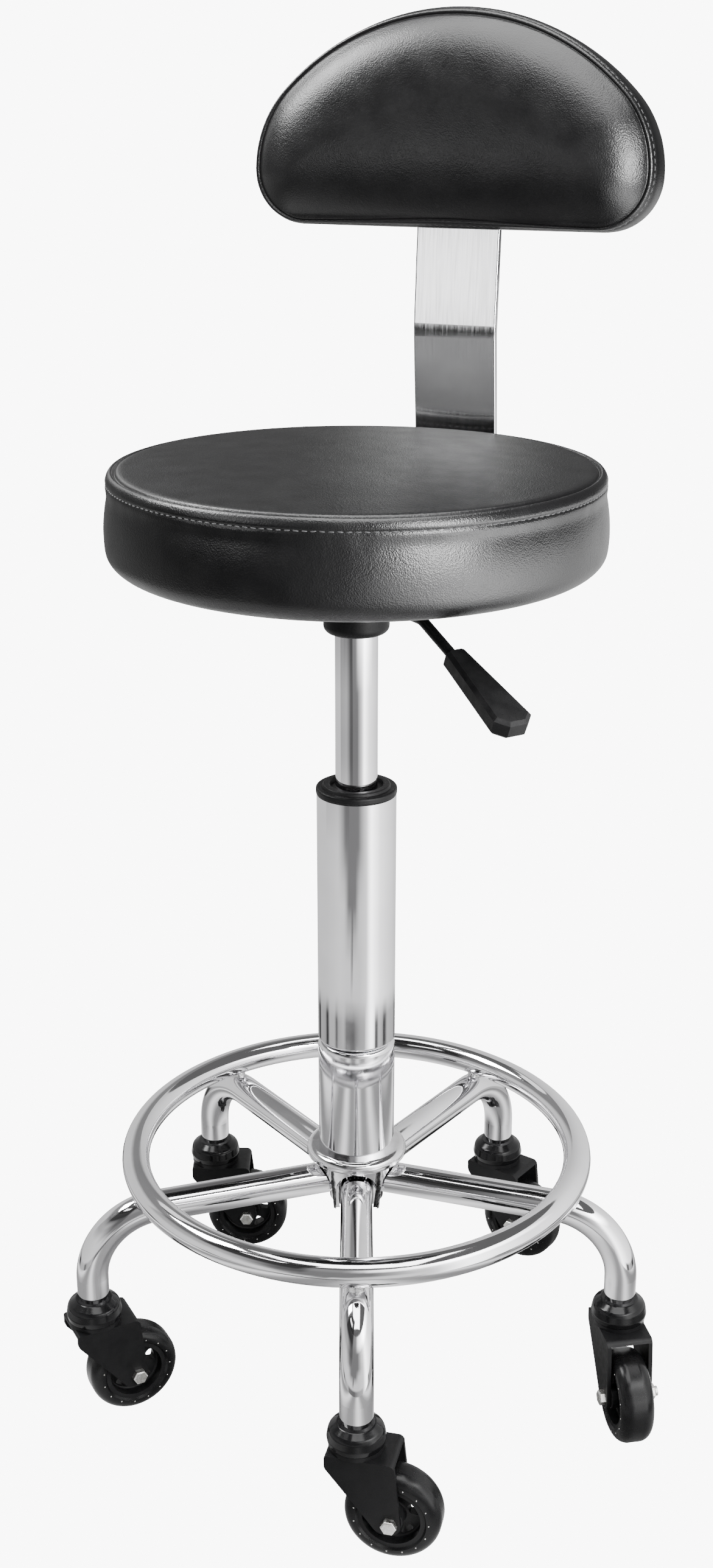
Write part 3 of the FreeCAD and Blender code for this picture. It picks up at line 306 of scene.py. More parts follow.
class Surface:
    """A procedural material on object coordinates, in metres."""

    def __init__(self, name, color, roughness, metallic=0.0, specular=0.5):
        self.material = bpy.data.materials.new(name)
        self.material.use_nodes = True
        self.tree = self.material.node_tree
        self.shader = self.tree.nodes["Principled BSDF"]
        self.color = color
        self.set("Base Color", (*color, 1))
        self.set("Roughness", roughness)
        self.set("Metallic", metallic)
        self.set("Specular IOR Level", specular)
        self.coordinates = self.tree.nodes.new("ShaderNodeTexCoord").outputs["Object"]
        self.height = None

    def set(self, socket, value):
        self.shader.inputs[socket].default_value = value

    def stretched(self, scale):
        """The coordinates, scaled along each axis."""
        mapping = self.tree.nodes.new("ShaderNodeMapping")
        mapping.inputs["Scale"].default_value = scale
        self.tree.links.new(self.coordinates, mapping.inputs["Vector"])
        return mapping.outputs["Vector"]

    def noise(self, size, detail=3.0, stretch=None, roughness=0.5):
        """Noise whose features are about that many millimetres across."""
        node = self.tree.nodes.new("ShaderNodeTexNoise")
        node.inputs["Scale"].default_value = 1 / (size * MM)
        node.inputs["Detail"].default_value = detail
        node.inputs["Roughness"].default_value = roughness
        source = self.stretched(stretch) if stretch else self.coordinates
        self.tree.links.new(source, node.inputs["Vector"])
        return node.outputs["Fac"]

    def cells(self, size):
        """Small rounded cells about that many millimetres across."""
        node = self.tree.nodes.new("ShaderNodeTexVoronoi")
        node.inputs["Scale"].default_value = 1 / (size * MM)
        self.tree.links.new(self.coordinates, node.inputs["Vector"])
        return node.outputs["Distance"]

    def spread(self, source, low, high, low_at=0.3, high_at=0.7):
        """Maps a texture from low_at..high_at to low..high."""
        node = self.tree.nodes.new("ShaderNodeMapRange")
        node.inputs["From Min"].default_value = low_at
        node.inputs["From Max"].default_value = high_at
        node.inputs["To Min"].default_value = low
        node.inputs["To Max"].default_value = high
        self.tree.links.new(source, node.inputs["Value"])
        return node.outputs["Result"]

    def vary_color(self, source, other, low_at=0.35, high_at=0.65):
        """Blends between the base colour and another by a texture."""
        node = self.tree.nodes.new("ShaderNodeMix")
        node.data_type = "RGBA"
        node.inputs["A"].default_value = (*self.color, 1)
        node.inputs["B"].default_value = (*other, 1)
        self.tree.links.new(self.spread(source, 0, 1, low_at, high_at), node.inputs["Factor"])
        self.tree.links.new(node.outputs["Result"], self.shader.inputs["Base Color"])

    def vary_roughness(self, source, low, high):
        """Roughness from low to high by a texture."""
        self.tree.links.new(self.spread(source, low, high), self.shader.inputs["Roughness"])

    def bump(self, source, depth):
        """Adds relief of about that depth, in millimetres."""
        node = self.tree.nodes.new("ShaderNodeBump")
        node.inputs["Strength"].default_value = 1
        node.inputs["Distance"].default_value = depth * MM
        self.tree.links.new(source, node.inputs["Height"])
        if self.height is not None:
            self.tree.links.new(self.height, node.inputs["Normal"])
        self.height = node.outputs["Normal"]
        self.tree.links.new(self.height, self.shader.inputs["Normal"])


def chrome_material():
    surface = Surface("bright chrome", (0.80, 0.795, 0.81), 0.05, metallic=1)
    surface.vary_roughness(surface.noise(14, 4), 0.03, 0.085)
    surface.vary_color(surface.noise(40, 2), (0.74, 0.735, 0.75))
    surface.bump(surface.noise(22, 1), 0.05)
    return surface.material


def cast_chrome_material():
    surface = Surface("cast chrome", (0.80, 0.80, 0.81), 0.08, metallic=1)
    surface.vary_roughness(surface.noise(6, 4), 0.05, 0.16)
    surface.vary_color(surface.noise(12, 3), (0.66, 0.65, 0.66))
    surface.bump(surface.noise(7, 2), 0.12)
    return surface.material


def weld_material():
    surface = Surface("plated weld", (0.70, 0.70, 0.70), 0.2, metallic=1)
    surface.vary_roughness(surface.noise(2, 3), 0.12, 0.35)
    surface.bump(surface.noise(1.6, 2), 0.25)
    return surface.material


def bar_material():
    surface = Surface("polished bar", (0.80, 0.80, 0.81), 0.14, metallic=1)
    surface.vary_roughness(surface.noise(3, 3, (3.0, 1.0, 0.06)), 0.09, 0.2)
    surface.vary_color(surface.noise(30, 2), (0.73, 0.73, 0.74))
    surface.bump(surface.noise(0.8, 2, (1.0, 1.0, 0.04)), 0.012)
    return surface.material


def zinc_material():
    surface = Surface("zinc plate", (0.72, 0.72, 0.71), 0.28, metallic=1)
    surface.vary_roughness(surface.noise(1.5, 4), 0.18, 0.42)
    surface.vary_color(surface.noise(2.5, 3), (0.55, 0.54, 0.50))
    surface.bump(surface.noise(0.5, 3), 0.03)
    return surface.material


def painted_steel_material():
    surface = Surface("black powder coat", (0.003, 0.003, 0.0033), 0.42, specular=0.16)
    surface.vary_roughness(surface.noise(5, 3), 0.38, 0.5)
    surface.vary_color(surface.noise(18, 4), (0.005, 0.005, 0.0053))
    surface.bump(surface.noise(0.9, 2), 0.05)
    return surface.material


def gloss_plastic_material():
    surface = Surface("moulded black plastic", (0.003, 0.003, 0.0033), 0.15, specular=0.2)
    surface.vary_roughness(surface.noise(9, 3), 0.12, 0.2)
    surface.vary_color(surface.noise(15, 3), (0.005, 0.005, 0.0053))
    surface.bump(surface.noise(1.2, 2), 0.02)
    return surface.material


def satin_plastic_material():
    surface = Surface("grained black plastic", (0.003, 0.003, 0.0033), 0.44, specular=0.18)
    surface.vary_roughness(surface.noise(6, 3), 0.4, 0.54)
    surface.vary_color(surface.noise(12, 3), (0.006, 0.006, 0.0063))
    surface.bump(surface.cells(0.7), 0.04)
    return surface.material


def tyre_material():
    surface = Surface("black tyre", (0.003, 0.003, 0.0033), 0.22, specular=0.18)
    surface.vary_roughness(surface.noise(7, 4), 0.2, 0.3)
    surface.vary_color(surface.noise(9, 5), (0.006, 0.006, 0.0062))
    surface.bump(surface.noise(0.6, 3), 0.02)
    return surface.material


def plywood_material():
    surface = Surface("plywood", (0.42, 0.29, 0.16), 0.65)
    surface.vary_color(surface.noise(4, 6, (0.08, 1.0, 1.0)), (0.27, 0.17, 0.085))
    surface.bump(surface.noise(1.2, 4, (0.08, 1.0, 1.0)), 0.1)
    return surface.material


def vinyl_material():
    surface = Surface("black vinyl", (0.0025, 0.0025, 0.0028), 0.30)
    surface.vary_roughness(surface.noise(17, 4), 0.28, 0.35)
    surface.vary_color(surface.noise(26, 5), (0.0045, 0.0045, 0.0048))
    surface.bump(surface.noise(2.4, 4, roughness=0.6), 0.12)
    surface.bump(surface.cells(0.9), 0.10)
    surface.bump(surface.noise(0.35, 2), 0.02)
    return surface.material


def thread_material():
    surface = Surface("black thread", (0.022, 0.022, 0.024), 0.5)
    surface.vary_color(surface.noise(0.6, 2), (0.05, 0.05, 0.052))
    surface.bump(surface.noise(0.25, 1, (1.0, 1.0, 3.0)), 0.06)
    surface.set("Sheen Weight", 0.3)
    return surface.material


def lining_material():
    """Non-woven cloth under the seat and behind the backrest."""
    surface = Surface("black non-woven cloth", (0.012, 0.012, 0.0125), 0.9, specular=0.2)
    surface.vary_color(surface.noise(1.2, 5), (0.026, 0.026, 0.027))
    surface.bump(surface.cells(1.3), 0.12)
    surface.bump(surface.noise(9, 3), 0.4)
    surface.set("Sheen Weight", 0.25)
    return surface.material


MATERIALS = {
    "chrome": chrome_material(),
    "cast": cast_chrome_material(),
    "weld": weld_material(),
    "bar": bar_material(),
    "zinc": zinc_material(),
    "paint": painted_steel_material(),
    "gloss": gloss_plastic_material(),
    "satin": satin_plastic_material(),
    "tyre": tyre_material(),
    "plywood": plywood_material(),
    "vinyl": vinyl_material(),
    "thread": thread_material(),
    "lining": lining_material(),
}

NODE_MATERIALS = {
    "hub": "cast", "foot_ring": "chrome", "ring_welds": "weld", "column_tube": "paint",
    "column_sleeve_lower": "chrome", "column_sleeve_upper": "chrome", "collar_bush": "satin",
    "thrust_bearing": "zinc", "piston_rod": "zinc", "piston": "satin", "gas_cylinder": "chrome",
    "release_pin": "zinc", "taper_socket": "paint", "lever_rod": "paint", "lever_pivot": "zinc",
    "lever_knob": "satin", "seat_plate": "paint", "seat_board": "plywood", "seat_screws": "zinc",
    "backrest_bar": "bar", "bar_bolts": "zinc", "backrest_board": "plywood",
    "backrest_screws": "zinc",
}
for k in CASTERS:
    NODE_MATERIALS.update({
        f"leg_{k}": "chrome", f"caster_{k}_stem": "chrome", f"caster_{k}_cap": "gloss",
        f"caster_{k}_fork": "paint", f"caster_{k}_axle": "zinc", f"caster_{k}_tyre": "tyre",
        f"caster_{k}_rim": "satin"})


def dress_nodes():
    """Put the materials on the CAD nodes."""
    for node, key in NODE_MATERIALS.items():
        piece = frame["nodes"][node]
        for slot in piece.material_slots:
            slot.material = MATERIALS[key]


# ---------------------------------------------------------------- mesh helpers

CLOTH_FRAMES = 20
CLOTH_QUALITY = 6
CLOTH_MASS = 0.4
CLOTH_STRETCH = 30
CLOTH_SHEAR = 12
CLOTH_BEND = 2
CLOTH_AIR = 4


def new_piece(name, mesh, body, material):
    piece = bpy.data.objects.new(name, mesh)
    bpy.context.collection.objects.link(piece)
    mesh.materials.append(MATERIALS[material])
    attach(piece, body)
    return piece


def thinned(ring, count):
    """Every so many points of a ring, to leave count of them."""
    return ring[::len(ring) // count]


def skin(first, second, start, base):
    """Faces between two rings of points, of equal length or one half the other.

    first and second are their lengths, start and base the numbers of their first points.
    """
    faces = []
    if first == second:
        for i in range(first):
            j = (i + 1) % first
            faces.append((start + i, start + j, base + j, base + i))
        return faces
    many, few = (start, base) if first > second else (base, start)
    count = min(first, second)
    for i in range(count):
        j = (i + 1) % count
        left, middle, right = many + 2 * i, many + 2 * i + 1, many + 2 * j
        faces.append((left, middle, few + i))
        faces.append((middle, right, few + j, few + i))
    return faces


def ring_mesh(name, rings, first_pole=None, last_pole=None):
    """A skin over closed rings of points, with a pole at either end."""
    points = [point for ring in rings for point in ring]
    faces, starts, start = [], [], 0
    for ring in rings:
        starts.append(start)
        start += len(ring)
    for r in range(len(rings) - 1):
        faces += skin(len(rings[r]), len(rings[r + 1]), starts[r], starts[r + 1])
    for pole, r in ((first_pole, 0), (last_pole, -1)):
        if pole is not None:
            count = len(rings[r])
            start = starts[r]
            faces += [(start + i, start + (i + 1) % count, len(points)) for i in range(count)]
            points.append(pole)
    mesh = bpy.data.meshes.new(name)
    mesh.from_pydata([tuple(p) for p in points], [], faces)
    tidy = bmesh.new()
    tidy.from_mesh(mesh)
    bmesh.ops.recalc_face_normals(tidy, faces=tidy.faces)
    tidy.to_mesh(mesh)
    tidy.free()
    smooth_faces(mesh)
    return mesh


def smooth_faces(mesh):
    for face in mesh.polygons:
        face.use_smooth = True


def inflate(piece, free, pressure, most):
    """Blow a closed cover up by cloth simulation, and write the result into its mesh.

    free holds 0 (held) to 1 (free) for each vertex, and most caps the movement in metres.
    """
    scene = bpy.context.scene
    group = piece.vertex_groups.new(name="held")
    for index, share in enumerate(free):
        group.add([index], 1 - share, "REPLACE")
    cloth = piece.modifiers.new("cloth", "CLOTH")
    settings = cloth.settings
    settings.quality = CLOTH_QUALITY
    settings.mass = CLOTH_MASS
    settings.tension_stiffness = settings.compression_stiffness = CLOTH_STRETCH
    settings.shear_stiffness = CLOTH_SHEAR
    settings.bending_stiffness = CLOTH_BEND
    settings.air_damping = CLOTH_AIR
    settings.use_pressure = True
    settings.uniform_pressure_force = pressure
    settings.effector_weights.gravity = 0
    settings.vertex_group_mass = "held"
    cloth.collision_settings.use_collision = False
    for step in range(1, CLOTH_FRAMES + 1):
        scene.frame_set(step)
    shaped = piece.evaluated_get(bpy.context.evaluated_depsgraph_get()).data
    start = [v.co.copy() for v in piece.data.vertices]
    moved = [v.co.copy() for v in shaped.vertices]
    piece.modifiers.remove(cloth)
    scene.frame_set(1)
    piece.vertex_groups.remove(group)
    for vertex, old, new, share in zip(piece.data.vertices, start, moved, free):
        shift = new - old
        if shift.length > most:
            shift = shift.normalized() * most
        vertex.co = old + shift * share


def surface_tree(piece):
    """A search tree over a piece's finished mesh."""
    graph = bpy.context.evaluated_depsgraph_get()
    return BVHTree.FromObject(piece, graph)


# Share of a stitch's length from its middle, and share of its radius there.
STITCH_PROFILE = [(-0.44, 0.72), (-0.3, 1.0), (0.0, 1.08), (0.3, 1.0), (0.44, 0.72)]
STITCH_DIVE = 0.9


def capsule_row(name, stitches, radius, sides=8):
    """Stitches or staples, each (middle, along, up, length), as rounded rods that dive in."""
    points, faces = [], []
    for middle, along, up, length in stitches:
        across = along.cross(up).normalized()
        base = len(points)
        dive = radius * STITCH_DIVE
        for share, swell in STITCH_PROFILE:
            sink = dive * (2 * share) ** 2
            for s in range(sides):
                angle = 2 * math.pi * s / sides
                offset = across * math.cos(angle) + up * math.sin(angle)
                place = middle + along * (share * length) - up * sink
                points.append(place + offset * radius * swell)
        rows = len(STITCH_PROFILE)
        for r in range(rows - 1):
            for s in range(sides):
                t = (s + 1) % sides
                a = base + r * sides
                faces.append((a + s, a + t, a + sides + t, a + sides + s))
        for share, r, flip in ((-0.5, 0, True), (0.5, rows - 1, False)):
            points.append(middle + along * (share * length) - up * dive)
            for s in range(sides):
                t = (s + 1) % sides
                a = base + r * sides
                ring = (a + t, a + s) if flip else (a + s, a + t)
                faces.append((*ring, len(points) - 1))
    mesh = bpy.data.meshes.new(name)
    mesh.from_pydata([tuple(p) for p in points], [], faces)
    smooth_faces(mesh)
    return mesh


def ripple(angle, seed, waves, amount):
    """A soft uneven wave round a full turn, from -amount to amount or so."""
    chance = random.Random(seed)
    total = 0.0
    for wave in waves:
        total += math.sin(wave * angle + chance.uniform(0, 2 * math.pi)) * chance.uniform(0.4, 1.0)
    return total * amount / len(waves)


# ---------------------------------------------------------------- seat

seat_low, seat_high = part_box("seat_cushion")
SEAT_RADIUS = (seat_high.x - seat_low.x) / 2
SEAT_BOTTOM = seat_low.z
SEAT_TOP = seat_high.z
SEAT_SEGMENTS = 240
SEAT_RIM = SEAT_RADIUS - 11.5 * MM
SEAT_CROWN = 3.0 * MM
SEAT_CROWN_POWER = 2.2
SEAT_RISE = 0.6 * MM
SEAT_TOP_ROWS = 26
SEAT_TOP_SLACK = 9
# Rows from the top panel's seam over the turned edge to the band: outward and upward from the
# top edge in mm, and how free the row is.
SEAT_EDGE = [
    # seam between top panel and band
    (-10.6, -3.4, 0.0), (-10.0, -4.9, 0.0), (-9.2, -5.0, 0.0), (-8.6, -3.9, 0.1),
    # turned edge of the band
    (-7.6, -3.2, 0.3), (-6.4, -3.4, 0.4), (-5.3, -4.4, 0.4), (-4.4, -6.0, 0.4),
    (-3.8, -7.8, 0.3), (-3.7, -9.2, 0.1),
    # stitched line
    (-4.4, -10.1, 0.0), (-4.3, -10.9, 0.0), (-3.3, -12.2, 0.2)]
SEAT_SIDE_TOP = SEAT_TOP - 12.2 * MM
SEAT_SIDE_LOW = SEAT_BOTTOM + 15 * MM
SEAT_SIDE_ROWS = 8
SEAT_SIDE_BULGE = 1.2 * MM
SEAT_SIDE_ARCH = 0.88
SEAT_SIDE_WAIST = 3.3 * MM
SEAT_SIDE_INSET = 2.4 * MM
SEAT_TURN = 15 * MM
SEAT_TURN_ROWS = 8
SEAT_TURN_INSET = 2.0 * MM
SEAT_TURN_STRETCH = 1.5
# The wrapped underside.
SEAT_UNDER = SEAT_BOTTOM - 0.5 * MM
SEAT_UNDER_RADII = (131, 126, 121, 116)
SEAT_MOUTH = 115.4 * MM
# The cover's hidden inner skin: radius of each ring, and what its number of points is divided by.
SEAT_INSIDE = SEAT_BOTTOM + 3 * MM
SEAT_INSIDE_RINGS = ((95, 2), (70, 4), (45, 8), (20, 16))
SEAT_PRESSURE = 2.2
SEAT_SWELL = 3.5 * MM
# Puckers below the stitches, and the softer waves of the band and of the top.
PUCKER_INSET = 6 * MM
PUCKER_WITHIN = 50 * MM
PUCKER_DEPTH = 14 * MM
PUCKER_SPREAD = 7 * MM
PUCKER = 0.32 * MM
BAND_WAVE = 0.35 * MM
TOP_WAVE = 0.5 * MM
TOP_WAVE_WITHIN = 8 * MM
STITCH_PITCH = 5.0 * MM
STITCH_LENGTH = 3.7 * MM
STITCH_LIFT = 0.12 * MM
STITCH_TILT = 0.12
THREAD = 0.42 * MM
SEAT_STITCH_INSET = 4.3 * MM
SEAT_STITCH_DEPTH = 10.5 * MM
SEAT_STITCH_STEPS = 360
STAPLE = 0.4 * MM
STAPLE_LENGTH = 9 * MM
STAPLE_SIDES = 6
STAPLE_TILT = 0.25
STAPLE_DRIFT = 0.15


def seat_profile():
    """Rows of the cover from the top's middle outward and down: radius, height, free, points."""
    rows = []
    for i in range(1, SEAT_TOP_ROWS + 1):
        share = i / SEAT_TOP_ROWS
        height = SEAT_TOP + SEAT_RISE - SEAT_CROWN * share ** SEAT_CROWN_POWER
        count = SEAT_SEGMENTS // 2 ** max(0, 5 - i)
        rows.append((SEAT_RIM * share, height, min(1.0, (1 - share) * SEAT_TOP_SLACK), count))
    for outward, upward, free in SEAT_EDGE:
        rows.append((SEAT_RADIUS + outward * MM, SEAT_TOP + upward * MM, free, SEAT_SEGMENTS))
    for i in range(1, SEAT_SIDE_ROWS + 1):
        share = i / SEAT_SIDE_ROWS
        bulge = math.sin(math.pi * share * SEAT_SIDE_ARCH) * SEAT_SIDE_BULGE
        swell = bulge - SEAT_SIDE_WAIST * (1 - share) ** 2 - SEAT_SIDE_INSET
        height = SEAT_SIDE_TOP + (SEAT_SIDE_LOW - SEAT_SIDE_TOP) * share
        rows.append((SEAT_RADIUS + swell, height, 1.0, SEAT_SEGMENTS))
    for i in range(1, SEAT_TURN_ROWS + 1):
        angle = math.pi / 2 * i / SEAT_TURN_ROWS
        inward = SEAT_TURN * SEAT_TURN_STRETCH * (1 - math.cos(angle))
        reach = SEAT_RADIUS - SEAT_TURN_INSET - inward
        free = max(0.0, 0.8 - i * 0.14)
        rows.append((reach, SEAT_SIDE_LOW - SEAT_TURN * math.sin(angle), free, SEAT_SEGMENTS))
    rows += [(radius * MM, SEAT_UNDER, 0.0, SEAT_SEGMENTS) for radius in SEAT_UNDER_RADII]
    rows += [(SEAT_MOUTH, height, 0.0, SEAT_SEGMENTS) for height in (SEAT_BOTTOM, SEAT_INSIDE)]
    for radius, divide in SEAT_INSIDE_RINGS:
        rows.append((radius * MM, SEAT_INSIDE, 0.0, SEAT_SEGMENTS // divide))
    return rows


def make_seat_cover():
    """Vinyl cover: crowned top panel, turned and stitched edge, bulging band, wrapped underside."""
    rings, free = [], []
    for radius, height, slack, count in seat_profile():
        angles = [2 * math.pi * i / count for i in range(count)]
        rings.append([Vector((radius * math.cos(a), radius * math.sin(a), height)) for a in angles])
        free += [slack] * count
    top_middle, inside_middle = Vector((0, 0, SEAT_TOP + SEAT_RISE)), Vector((0, 0, SEAT_INSIDE))
    mesh = ring_mesh("seat_cover", rings, top_middle, inside_middle)
    cover = new_piece("seat_cover", mesh, "seat", "vinyl")
    free += [1.0, 0.0]
    inflate(cover, free, SEAT_PRESSURE, SEAT_SWELL)
    settle_seat(cover, free)
    add_smoothing(cover)
    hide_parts("seat_cushion")
    return cover


def add_smoothing(cover):
    smooth = cover.modifiers.new("smooth", "SUBSURF")
    smooth.levels = smooth.render_levels = 1


def settle_seat(cover, free):
    """Small unevenness of stretched vinyl: puckers below the stitches, slight hollows on top."""
    for vertex, slack in zip(cover.data.vertices, free):
        angle = math.atan2(vertex.co.y, vertex.co.x)
        out = Vector((math.cos(angle), math.sin(angle), 0))
        depth = SEAT_TOP - vertex.co.z
        if vertex.co.xy.length > SEAT_RADIUS - PUCKER_INSET and depth < PUCKER_WITHIN:
            near = math.exp(-((depth - PUCKER_DEPTH) / PUCKER_SPREAD) ** 2)
            vertex.co += out * ripple(angle, 3, (37, 53, 71), PUCKER) * near
            vertex.co += out * ripple(angle, 5, (5, 9, 14), BAND_WAVE) * slack
        elif depth < TOP_WAVE_WITHIN:
            share = vertex.co.xy.length / SEAT_RADIUS
            wave = ripple(angle, 11, (2, 3, 5), TOP_WAVE) * share
            vertex.co.z += wave * min(1.0, (1 - share) * 6)


def stitch_path(tree, points, spacing, length):
    """Stitches along a closed loop of points, laid on a surface."""
    count = len(points)
    lengths = [(points[(i + 1) % count] - points[i]).length for i in range(count)]
    total = sum(lengths)
    number = round(total / spacing)
    stitches = []
    i, start = 0, 0.0
    for n in range(number):
        target = total * n / number
        while start + lengths[i] < target:
            start += lengths[i]
            i += 1
        share = (target - start) / lengths[i]
        place = points[i].lerp(points[(i + 1) % count], share)
        along = (points[(i + 1) % count] - points[i]).normalized()
        near, normal = tree.find_nearest(place)[:2]
        up = (normal - along * normal.dot(along)).normalized()
        tilt = Matrix.Rotation(random.uniform(-STITCH_TILT, STITCH_TILT), 3, up)
        size = length * random.uniform(0.94, 1.04)
        stitches.append((near + up * STITCH_LIFT, tilt @ along, up, size))
    return stitches


def make_seat_stitching(cover):
    tree = surface_tree(cover)
    radius = SEAT_RADIUS - SEAT_STITCH_INSET
    height = SEAT_TOP - SEAT_STITCH_DEPTH
    loop = [Vector((radius * math.cos(a), radius * math.sin(a), height))
            for a in (2 * math.pi * i / SEAT_STITCH_STEPS for i in range(SEAT_STITCH_STEPS))]
    stitches = stitch_path(tree, loop, STITCH_PITCH, STITCH_LENGTH)
    mesh = capsule_row("seat_stitching", stitches, THREAD)
    new_piece("seat_stitching", mesh, "seat", "thread")


LINING_SEGMENTS = 180
LINING_LEVEL = SEAT_BOTTOM - 0.9 * MM
LINING_HEM = 123 * MM
LINING_WAVE = 0.5 * MM
SEAT_STAPLES = 40


def make_seat_lining():
    """Cloth under the seat board, with its turned hem, and the staples that hold it."""
    level, hem = LINING_LEVEL, LINING_HEM
    rings = []
    for radius, height in (
            (20 * MM, level), (60 * MM, level), (100 * MM, level), (hem - 8 * MM, level),
            (hem - 2 * MM, level - 0.5 * MM), (hem, level - 0.2 * MM),
            (hem, SEAT_BOTTOM - 0.45 * MM), (20 * MM, SEAT_BOTTOM - 0.35 * MM)):
        ring = []
        for i in range(LINING_SEGMENTS):
            angle = 2 * math.pi * i / LINING_SEGMENTS
            wave = ripple(angle, 17, (7, 11, 19), LINING_WAVE) if radius > 90 * MM else 0.0
            reach = radius + wave
            ring.append(Vector((reach * math.cos(angle), reach * math.sin(angle), height)))
        rings.append(ring)
    make_lining("seat_lining", rings)

    staples = []
    for i in range(SEAT_STAPLES):
        drift = random.uniform(-STAPLE_DRIFT, STAPLE_DRIFT)
        angle = 2 * math.pi * (i + drift) / SEAT_STAPLES
        radius = hem - 4.5 * MM
        middle = Vector((radius * math.cos(angle), radius * math.sin(angle), level - 0.6 * MM))
        along = Vector((-math.sin(angle), math.cos(angle), 0))
        along.rotate(Matrix.Rotation(random.uniform(-STAPLE_TILT, STAPLE_TILT), 3, "Z"))
        staples.append((middle, along, Vector((0, 0, -1)), STAPLE_LENGTH))
    make_staples("seat_staples", staples)


def make_lining(name, rings):
    """A thin closed cloth over rings of points that come back to the first."""
    mesh = ring_mesh(name, rings + [rings[0]])
    clean_doubles(mesh)
    new_piece(name, mesh, "seat", "lining")


def make_staples(name, staples):
    new_piece(name, capsule_row(name, staples, STAPLE, STAPLE_SIDES), "seat", "zinc")


def clean_doubles(mesh):
    """Join points that lie on each other."""
    tidy = bmesh.new()
    tidy.from_mesh(mesh)
    bmesh.ops.remove_doubles(tidy, verts=tidy.verts, dist=1e-6)
    bmesh.ops.recalc_face_normals(tidy, faces=tidy.faces)
    tidy.to_mesh(mesh)
    tidy.free()


# ---------------------------------------------------------------- backrest

PAD_TILT = math.radians(4)
PAD_LOW = 795 * MM
PAD_FACE = 172.25 * MM
PAD_HALF_WIDTH = 142 * MM
PAD_HEIGHT = 138.3 * MM
PAD_SLOPE = math.radians(45.5)
PAD_TOP_RADIUS = 169 * MM
PAD_SHOULDER_RADIUS = 72 * MM
PAD_CORNER_RADIUS = 35.6 * MM
PAD_DEPTH = 45 * MM
PAD_SEGMENTS = 192
PAD_CENTRE = Vector((0, 62 * MM))
PAD_REAR = 0.5 * MM
PAD_REAR_RINGS = ((0.12, 16), (0.3, 8), (0.5, 4), (0.7, 2))
# Rows of the cover from the rear edge to the seam of the front panel: inset, y and free, in mm.
PAD_BAND = [
    (14, 0.5, 0.0), (5, 0.5, 0.0), (2.2, 0.2, 0.0), (0.8, -1.2, 0.0), (0.2, -4, 0.2),
    (0.0, -8, 0.5), (-0.3, -12, 0.7), (-0.3, -16, 0.6), (0.0, -19.5, 0.3), (0.8, -21.6, 0.1),
    # stitched line and turned edge
    (2.0, -22.6, 0.0), (2.1, -23.4, 0.0), (1.5, -24.4, 0.1), (1.9, -26.0, 0.2),
    (3.0, -27.2, 0.2), (4.2, -27.4, 0.1),
    # seam of the front panel
    (5.0, -26.4, 0.0), (5.6, -26.4, 0.0), (6.4, -27.8, 0.2)]
PAD_INSET = 6.4 * MM
PAD_FRONT = 27.8 * MM
PAD_FRONT_ROWS = 22
PAD_ROW_POWER = 1.15
PAD_RISE = 0.5 * MM
PAD_CROWN_REACH = 16 * MM
PAD_PRESSURE = 2.0
PAD_SWELL = 4 * MM
PAD_STITCH_INSET = 1.7 * MM
PAD_STITCH_DEPTH = -23.0 * MM
PAD_STITCH_SHARE = 0.9
PAD_STITCH_STEPS = 400
CORNER_STEPS = 48


def rounded_loop(corners, count):
    """Evenly spaced points round a polygon (x, z, radius) whose corners are rounded."""
    path = []
    number = len(corners)
    for i, (x, z, radius) in enumerate(corners):
        corner = Vector((x, z))
        into = (corner - Vector(corners[i - 1][:2])).normalized()
        out = (Vector(corners[(i + 1) % number][:2]) - corner).normalized()
        turn = into.angle(out)
        reach = radius * math.tan(turn / 2)
        centre = corner - into * reach + Vector((-into.y, into.x)) * radius
        spoke = corner - into * reach - centre
        for n in range(CORNER_STEPS + 1):
            rotation = Matrix.Rotation(turn * n / CORNER_STEPS, 2)
            path.append(centre + rotation @ spoke)
    steps = [path[(i + 1) % len(path)] - path[i] for i in range(len(path))]
    total = sum(step.length for step in steps)
    loop, gone, i = [], 0.0, 0
    for n in range(count):
        target = total * n / count
        while gone + steps[i].length < target:
            gone += steps[i].length
            i += 1
        share = (target - gone) / steps[i].length if steps[i].length else 0.0
        loop.append(path[i] + steps[i] * share)
    return loop


def pad_outline(count):
    """Outline of the backrest: flat foot, round corners and an arched top, from (x, z)."""
    slope = math.tan(PAD_SLOPE)
    peak = PAD_HEIGHT + PAD_TOP_RADIUS / math.cos(PAD_SLOPE) - PAD_TOP_RADIUS
    shoulder = peak - PAD_HALF_WIDTH * slope
    return rounded_loop([
        (-PAD_HALF_WIDTH, 0, PAD_CORNER_RADIUS), (PAD_HALF_WIDTH, 0, PAD_CORNER_RADIUS),
        (PAD_HALF_WIDTH, shoulder, PAD_SHOULDER_RADIUS), (0, peak, PAD_TOP_RADIUS),
        (-PAD_HALF_WIDTH, shoulder, PAD_SHOULDER_RADIUS)], count)


def on_pad(x, y, z):
    """From the pad's own frame, upright with its back on y = 0, to the stool's."""
    cos, sin = math.cos(PAD_TILT), math.sin(PAD_TILT)
    return Vector((x, PAD_FACE + y * cos + z * sin, PAD_LOW - y * sin + z * cos))


def edge_distance(point, outline):
    """How far a point is from the nearest point of an outline."""
    return min((point - q).length for q in outline)


def pad_crown(distance):
    """How far the front panel stands proud of its seam, at a distance inside it."""
    return (PAD_DEPTH + PAD_RISE - PAD_FRONT) * (1 - math.exp(-distance / PAD_CROWN_REACH))


